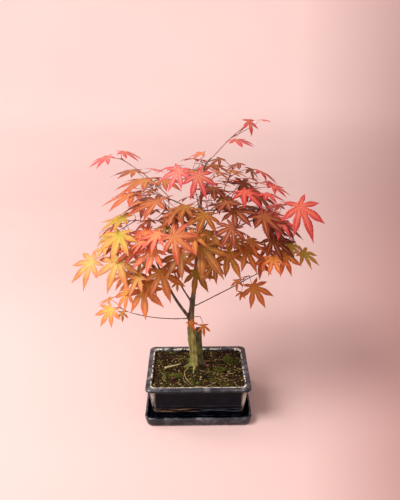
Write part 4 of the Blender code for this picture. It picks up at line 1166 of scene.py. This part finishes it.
def make_soil(height):
    bm = bmesh.new()
    columns, rows = SOIL_GRID
    half_x, half_y = SOIL_HIGH.x, SOIL_HIGH.y
    grid = []
    for row in range(rows + 1):
        line = []
        for column in range(columns + 1):
            x = half_x * (2 * column / columns - 1)
            y = half_y * (2 * row / rows - 1)
            over_x, over_y = abs(x) - (half_x - SOIL_CORNER), abs(y) - (half_y - SOIL_CORNER)
            if over_x > 0 and over_y > 0 and math.hypot(over_x, over_y) > SOIL_CORNER:
                shrink = SOIL_CORNER / math.hypot(over_x, over_y)
                x = math.copysign(half_x - SOIL_CORNER + over_x * shrink, x)
                y = math.copysign(half_y - SOIL_CORNER + over_y * shrink, y)
            lumps = noise.fractal(Vector((x * 170, y * 170, 0)), 1.0, 2.0, 4) * 0.8 * MM
            line.append(bm.verts.new((x, y, height(x * 0.985, y * 0.985) + lumps - 0.5 * MM)))
        grid.append(line)
    for low, high in zip(grid, grid[1:]):
        for c in range(columns):
            bm.faces.new((low[c], low[c + 1], high[c + 1], high[c]))
    right, left = [line[-1] for line in grid[:-1]], [line[0] for line in grid[:0:-1]]
    rim = grid[0][:-1] + right + grid[-1][:0:-1] + left
    foot = [bm.verts.new((v.co.x * 0.93, v.co.y * 0.92, SOIL_LOW.z)) for v in rim]
    for i in range(len(rim)):
        j = (i + 1) % len(rim)
        bm.faces.new((rim[j], rim[i], foot[i], foot[j]))
    bm.faces.new(foot)
    bmesh.ops.recalc_face_normals(bm, faces=bm.faces)
    return link("soil_bed", mesh_of(bm, "soil_bed"))


soil_top = soil_surface()
bed = make_soil(soil_top)
print("soil bed:", triangles(bed), "triangles")


# %% Crumbs and fibres
def crumb(name, size, squash, seed):
    """A small lumpy stone or crumb, at the origin."""
    bm = bmesh.new()
    bmesh.ops.create_icosphere(bm, subdivisions=1, radius=size)
    for v in bm.verts:
        v.co += v.co * noise.noise(v.co * (0.9 / size) + Vector((seed, 0, 0))) * 0.5
        v.co = Vector((v.co.x * squash[0], v.co.y * squash[1], v.co.z * squash[2]))
    return link(name, mesh_of(bm, name, smooth=False))


def strand(name, length, width, bow):
    """A dry fibre: a thin bowed sliver with four sides."""
    bm = bmesh.new()
    loops = []
    for share in (0.0, 0.25, 0.5, 0.75, 1.0):
        x = length * (share - 0.5)
        w = width * (1 - abs(2 * share - 1) ** 3 * 0.8)
        y, z = bow * math.sin(math.pi * share), bow * 0.6 * math.sin(math.pi * share * 1.4)
        loops.append([bm.verts.new((x, y + a * w, z + b * w)) for a, b in ((1, 0), (0, 1), (-1, 0), (0, -1))])
    for low, high in zip(loops, loops[1:]):
        for i in range(4):
            bm.faces.new((low[i], low[(i + 1) % 4], high[(i + 1) % 4], high[i]))
    bm.faces.new(loops[0])
    bm.faces.new(loops[-1])
    bmesh.ops.recalc_face_normals(bm, faces=bm.faces)
    return link(name, mesh_of(bm, name))


grains = [crumb("crumb", 1.15 * MM, (1.0, 0.9, 0.8), 1), crumb("chip", 1.6 * MM, (1.3, 0.55, 0.35), 5),
          crumb("grit", 0.8 * MM, (1.0, 1.0, 0.9), 9), crumb("bark_bit", 1.5 * MM, (1.1, 0.8, 0.4), 13),
          strand("fibre", 7 * MM, 0.22 * MM, 1.2 * MM)]
print("kinds of grain:", [(grain.name, triangles(grain)) for grain in grains])


# %% A recipe that scatters shapes
def scatter_recipe(name, shapes, material, **sizes):
    """Scatter shapes over the faces that look up, each turned and sized at random, and keep the surface."""
    r = Recipe(name, **sizes, **{shape.name: shape for shape in shapes})
    seed, tilt = r.given("Seed"), r.given("Tilt")
    normal = r.node("GeometryNodeInputNormal").outputs[0]
    top = r.math("GREATER_THAN", r.node("ShaderNodeSeparateXYZ", Vector=normal).outputs["Z"], 0.35)
    points = r.node("GeometryNodeDistributePointsOnFaces", {"distribute_method": "RANDOM"}, Mesh=r.mesh,
                    Selection=top, Density=r.given("Density"), Seed=seed)
    spots = r.store(points.outputs["Points"], "grain", r.random("FLOAT", Seed=seed).outputs[1])
    singles = []
    for shape in shapes:
        info = r.node("GeometryNodeObjectInfo", Object=r.given(shape.name)).outputs["Geometry"]
        singles.append(r.node("GeometryNodeGeometryToInstance", Geometry=info).outputs[0])
    turn = r.random("FLOAT_VECTOR", Seed=seed)
    back = r.times(tilt, -1.0)
    r.set(turn.inputs[0], r.node("ShaderNodeCombineXYZ", X=back, Y=back, Z=-3.1416).outputs[0])
    r.set(turn.inputs[1], r.node("ShaderNodeCombineXYZ", X=tilt, Y=tilt, Z=3.1416).outputs[0])
    size = r.random("FLOAT", Seed=r.plus(seed, 1.0))
    r.set(size.inputs[2], r.given("SmallestSize"))
    r.set(size.inputs[3], r.given("LargestSize"))
    placed = r.node("GeometryNodeInstanceOnPoints", Points=spots, Instance=r.joined(*singles),
                    Pick_Instance=True, Rotation=turn.outputs[0], Scale=size.outputs[1]).outputs[0]
    grown = r.node("GeometryNodeRealizeInstances", Geometry=placed).outputs[0]
    r.serve(r.joined(grown, r.mesh), material)
    return r


print("scatter recipe ready")


# %% Soil
def soil_finish():
    f = Finish("soil", roughness=0.95, Specular_IOR_Level=0.2)
    grain = f.value("grain")
    patch = f.noise(38, detail=4.0)
    fine = f.noise(700, detail=5.0, roughness=0.7)
    tone = f.ramp(grain, (0.0, srgb(16, 9, 4)), (0.30, srgb(34, 18, 8)), (0.50, srgb(74, 40, 14)),
                  (0.62, srgb(84, 72, 18)), (0.72, srgb(26, 15, 7)), (0.84, srgb(104, 66, 28)),
                  (0.93, srgb(150, 122, 62)), (0.98, srgb(200, 182, 124)))
    tone = f.mix(f.span(fine, 0.35, 0.65, 0.6, 0.0), tone, srgb(16, 10, 4))
    green = f.times(f.span(patch, 0.50, 0.62), 0.75)
    film = f.ramp(f.times(f.plus(fine, grain), 0.5),
                  (0.3, srgb(20, 26, 4)), (0.5, srgb(58, 62, 14)), (0.7, srgb(120, 118, 40)))
    tone = f.mix(green, tone, film)
    f.colour(tone)
    f.drive("Normal", f.bump(fine, 0.8, 0.0006))
    return f.mat


SOIL_SCATTER = scatter_recipe("soil_scatter", grains, soil_finish(), Density=0.34e6, SmallestSize=0.6,
                              LargestSize=1.5, Tilt=0.8, Seed=3)
cook(bed, SOIL_SCATTER)
for shape in grains:
    bpy.data.objects.remove(shape, do_unlink=True)
print("soil:", triangles(bed), "triangles")

# %% [markdown]
# ## Fine roots and a fallen scrap
#
# Pale roots as thin as string have grown out over the soil near the trunk, and a red scrap of last year's
# leaf lies in it. The roots are tubes along smooth paths that hug the soil. They belong to the soil piece.

# %% Roots and scrap
# Each root in millimetres on the soil, from its thick end, with its radius there
ROOT_PATHS = (
    (((-14, 2), (-20, -8), (-19, -20), (-14, -32), (-6, -43), (6, -45), (18, -40), (27, -33)), 0.55),
    (((-19, -14), (-22, -22), (-19, -34), (-12, -41)), 0.40),
    (((2, -6), (12, -10), (20, -8), (30, -14), (38, -12)), 0.32),
    (((10, 20), (22, 18), (30, 24), (44, 20)), 0.40),
    (((40, -20), (46, -12), (52, -14), (56, -6)), 0.45),
    (((-40, 20), (-34, 26), (-26, 24), (-18, 30)), 0.35),
    (((30, -30), (38, -26), (48, -30), (55, -26)), 0.35),
    (((-55, -8), (-50, -16), (-52, -24), (-46, -32)), 0.35),
)

SCRAPS = ((-0.034, -0.022, 0.010, 0.7), (0.014, 0.006, 0.006, 2.0))     # x, y, length, turn


def curve_through(points, steps=6):
    """A Catmull-Rom curve through points."""
    path, last = [], len(points) - 1
    for i in range(last):
        a, b, c, d = points[max(i - 1, 0)], points[i], points[i + 1], points[min(i + 2, last)]
        for step in range(steps):
            t = step / steps
            path.append(0.5 * (2 * b + (c - a) * t + (2 * a - 5 * b + 4 * c - d) * t * t
                               + (3 * b - a - 3 * c + d) * t ** 3))
    return path + [points[-1]]


def tube_along(bm, path, radii, sides=6):
    """Add a closed tube to a bmesh."""
    rings, side = [], None
    for i, centre in enumerate(path):
        ahead = (path[min(i + 1, len(path) - 1)] - path[max(i - 1, 0)]).normalized()
        side = ahead.orthogonal() if side is None else side
        side = (side - ahead * side.dot(ahead)).normalized()
        across = ahead.cross(side)
        ring = []
        for k in range(sides):
            a = 2 * math.pi * k / sides
            ring.append(bm.verts.new(centre + (side * math.cos(a) + across * math.sin(a)) * radii[i]))
        rings.append(ring)
    for low, high in zip(rings, rings[1:]):
        for k in range(sides):
            bm.faces.new((low[k], low[(k + 1) % sides], high[(k + 1) % sides], high[k]))
    bm.faces.new(reversed(rings[0]))
    bm.faces.new(rings[-1])


def make_fine_roots():
    bm = bmesh.new()
    for spots, radius in ROOT_PATHS:
        flat = curve_through([Vector((x * MM, y * MM, 0)) for x, y in spots])
        path, radii = [], []
        for i, p in enumerate(flat):
            lift = noise.noise(p * 90) * 0.7 * MM
            path.append(Vector((p.x, p.y, soil_top(p.x, p.y) + 0.7 * MM + lift)))
            radii.append(radius * MM * (1 - 0.6 * i / len(flat)))
        tube_along(bm, path, radii)
    return link("fine_roots", mesh_of(bm, "fine_roots"))


def make_scrap(x, y, size, turn):
    """A small curled scrap of dead leaf."""
    bm = bmesh.new()
    steps = 6
    grid = []
    for i in range(steps + 1):
        line = []
        for j in range(-2, 3):
            u, v = i / steps - 0.5, j / 2 * (0.34 * math.sin(math.pi * (i + 0.5) / (steps + 1)))
            px = x + size * (u * math.cos(turn) - v * math.sin(turn))
            py = y + size * (u * math.sin(turn) + v * math.cos(turn))
            curl = size * (0.5 * v * v + 0.22 * u * u) + 1.3 * MM
            line.append(bm.verts.new((px, py, soil_top(px, py) + curl)))
        grid.append(line)
    for low, high in zip(grid, grid[1:]):
        for c in range(4):
            bm.faces.new((low[c], low[c + 1], high[c + 1], high[c]))
    bmesh.ops.recalc_face_normals(bm, faces=bm.faces)
    obj = link("leaf_scrap", mesh_of(bm, "leaf_scrap"))
    wall = obj.modifiers.new("thickness", "SOLIDIFY")
    wall.thickness = 0.25 * MM
    return applied(obj)


def plain_finish(name, dark, light, scale, roughness=0.7, relief=0.4):
    """Two tones of one colour, mixed by noise at a scale, with the same noise as relief."""
    f = Finish(name, roughness=roughness)
    cloud = f.noise(scale, detail=5.0, roughness=0.65)
    f.colour(f.ramp(cloud, (0.3, dark), (0.7, light)))
    f.drive("Normal", f.bump(cloud, relief, 0.0005))
    return f.mat


ROOT_FINISH = plain_finish("pale_root", srgb(132, 104, 50), srgb(214, 190, 130), 500)
SCRAP_FINISH = plain_finish("dead_leaf", srgb(120, 36, 44), srgb(196, 92, 96), 300)
TWIG_FINISH = plain_finish("dead_twig", srgb(150, 136, 84), srgb(226, 218, 170), 380, relief=0.7)
roots = finished(make_fine_roots(), ROOT_FINISH)
scraps = [finished(make_scrap(*place), SCRAP_FINISH) for place in SCRAPS]
soil = piece(joined("gritty_soil", bed, roots, *scraps), "soil", "soil")
print("soil with roots:", triangles(soil), "triangles")

# %% [markdown]
# ## Moss and the fallen twig
#
# Each cushion of moss is the frame's low pad, rounded, with hundreds of tiny fronds standing on it. A frond
# is only a few faces, because so many are needed. The twig is the frame's, rounded and roughened.

# %% Moss
def frond():
    """Three thin blades that lean out from one root."""
    bm = bmesh.new()
    for k in range(3):
        a = 2 * math.pi * k / 3
        out = Vector((math.cos(a), math.sin(a), 0))
        side = Vector((-out.y, out.x, 0)) * 0.16 * MM
        base = [bm.verts.new(side), bm.verts.new(-side), bm.verts.new(out * 0.22 * MM)]
        tip = bm.verts.new(out * 0.7 * MM + Vector((0, 0, 1.5 * MM)))
        bm.faces.new(base)
        for i in range(3):
            bm.faces.new((base[i], base[(i + 1) % 3], tip))
    bmesh.ops.recalc_face_normals(bm, faces=bm.faces)
    return link("frond", mesh_of(bm, "frond"))


def moss_finish():
    f = Finish("moss", roughness=0.9, Specular_IOR_Level=0.2)
    grain = f.value("grain")
    cloud = f.noise(180, detail=4.0)
    tone = f.plus(f.times(grain, 0.6), f.times(cloud, 0.6))
    f.colour(f.ramp(tone, (0.28, srgb(16, 18, 6)), (0.50, srgb(44, 56, 14)), (0.68, srgb(90, 100, 30)),
                    (0.85, srgb(150, 150, 64))))
    f.drive("Normal", f.bump(f.noise(1200), 0.6, 0.0004))
    return f.mat


blade = frond()
MOSS_SCATTER = scatter_recipe("moss_scatter", [blade], moss_finish(), Density=3.4e6, SmallestSize=0.5,
                              LargestSize=1.6, Tilt=0.8, Seed=3)
for number, name in enumerate(("moss_front_left", "moss_front_right", "moss_back_right")):
    pad = rounded(link("cushion_" + name, mesh_of(merged(name), "cushion_" + name)), 2)
    piece(cook(pad, MOSS_SCATTER, Seed=number + 11), "moss", name)
    print(name, triangles(pad), "triangles")
bpy.data.objects.remove(blade, do_unlink=True)

# %% Twig
twig = rounded(link("bare_twig", mesh_of(merged("fallen_twig"), "bare_twig")), 3)
for v in twig.data.vertices:
    v.co += v.normal * noise.fractal(v.co * 500, 1.0, 2.0, 3) * 0.18 * MM
piece(finished(twig, TWIG_FINISH), "dead_twig", "fallen_twig")
print("twig:", triangles(twig), "triangles")

# %% [markdown]
# ## Drainage screens
#
# The two squares of plastic mesh over the drainage holes are hidden by the soil. Their frame solids stay as
# they are and only get a matt black plastic with a faint grain.

# %% Screens
SCREEN_FINISH = plain_finish("screen_plastic", (0.010, 0.010, 0.011), (0.024, 0.024, 0.026), 900, 0.55, 0.2)
for name in ("drainage_screen_left", "drainage_screen_right"):
    finished(NODES[name], SCREEN_FINISH)
print("screens dressed")

# %% [markdown]
# ## Floor, backdrop and light
#
# The tree stands on a plain pale pink floor that curves up into a wall all round it. Painted shade darkens it
# to the right and towards the front, and the floor and wall glow more and more with distance, which is
# painted light, as they are no lamp. The light is soft and comes from the upper left and front, so that the
# pot throws a broad faint shadow to the right.

# %% Floor
FLOOR_REACH = 2.6               # radius of its flat part
COVE = 1.0                      # radius of the curve up into the wall
COVE_TOP = 3.2
COVE_STEPS = 12
FLOOR_STEPS = 96                # round it
FLOOR_DROP = 0.2 * MM           # below the tray, so that they don't touch


def make_stage():
    """A round floor that curves up into a wall all round."""
    outline = [(0.3, 0.0), (1.2, 0.0), (FLOOR_REACH, 0.0)]
    for step in range(1, COVE_STEPS + 1):
        a = math.radians(90 * step / COVE_STEPS)
        outline.append((FLOOR_REACH + COVE * math.sin(a), COVE * (1 - math.cos(a))))
    outline.append((FLOOR_REACH + COVE, COVE_TOP))
    bm = bmesh.new()
    turns = [2 * math.pi * k / FLOOR_STEPS for k in range(FLOOR_STEPS)]
    loops = []
    for r, z in outline:
        loops.append([bm.verts.new((r * math.cos(t), r * math.sin(t), z - FLOOR_DROP)) for t in turns])
    for low, high in zip(loops, loops[1:]):
        for k in range(FLOOR_STEPS):
            j = (k + 1) % FLOOR_STEPS
            bm.faces.new((low[k], high[k], high[j], low[j]))
    bm.faces.new(loops[0])
    mesh = bpy.data.meshes.new("floor")
    bm.to_mesh(mesh)
    bm.free()
    mesh.shade_smooth()
    return link("floor", mesh)


def floor_finish():
    f = Finish("floor", roughness=0.9, Specular_IOR_Level=0.1)
    cloud = f.noise(1.4, detail=2.0)
    x, y, _ = f.across_and_up()
    # Painted shade: the floor and wall darken to the right.
    right = f.math("DIVIDE", x, f.math("MAXIMUM", f.plus(y, 0.9), 0.35))
    painted_dimming = f.times(f.span(right, 0.18, 0.36), f.span(y, -1.2, -0.5))
    pink = f.ramp(cloud, (0.3, srgb(208, 178, 174)), (0.7, srgb(212, 184, 180)))
    # Painted shade: the floor darkens towards the front.
    painted_front_shade = f.span(y, -0.12, -0.42, 0.0, 0.7)
    pink = f.mix(painted_front_shade, pink, srgb(192, 164, 160))
    f.colour(f.mix(painted_dimming, pink, srgb(180, 144, 140)))
    # The floor and wall glow more with distance from the tree, and less where they are dimmed: painted light,
    # since they are no lamp.
    away = f.math("SQRT", f.plus(f.times(x, x), f.times(y, y)))
    f.shader.inputs["Emission Color"].default_value = (1.0, 0.82, 0.78, 1.0)
    glow = f.span(away, 0.6, 3.0, 0.0, 0.36)
    f.drive("Emission Strength", f.times(glow, f.span(painted_dimming, 0.0, 1.0, 1.0, 0.55)))
    return f.mat


floor = finished(make_stage(), floor_finish())
print("floor ready")


# %% Lights
def area_light(name, place, target, size, power, colour):
    data = bpy.data.lights.new(name, "AREA")
    data.shape, data.size, data.energy, data.color = "DISK", size, power, colour
    lamp = bpy.data.objects.new(name, data)
    lamp.location = place
    lamp.rotation_euler = (Vector(target) - Vector(place)).to_track_quat("-Z", "Y").to_euler()
    lamp.visible_camera = False
    bpy.context.scene.collection.objects.link(lamp)


area_light("key", (-0.90, -0.50, 1.40), (0, 0, 0.15), 0.8, 34, (1.0, 0.97, 0.94))
area_light("side", (-1.35, 0.60, 1.10), (-0.6, 0.6, 0), 0.8, 10, (1.0, 0.97, 0.95))
area_light("fill", (0.2, -1.9, 1.0), (0, 0, 0.2), 1.2, 7, (1.0, 0.96, 0.95))
area_light("backdrop", (-0.9, 1.6, 1.7), (-0.8, 2.9, 0.9), 0.9, 14, (1.0, 0.97, 0.94))
world = bpy.data.worlds.new("room")
world.use_nodes = True
world.node_tree.nodes["Background"].inputs["Color"].default_value = (1.0, 0.93, 0.91, 1.0)
world.node_tree.nodes["Background"].inputs["Strength"].default_value = 0.50
bpy.context.scene.world = world
bpy.context.scene.view_settings.view_transform = "Standard"
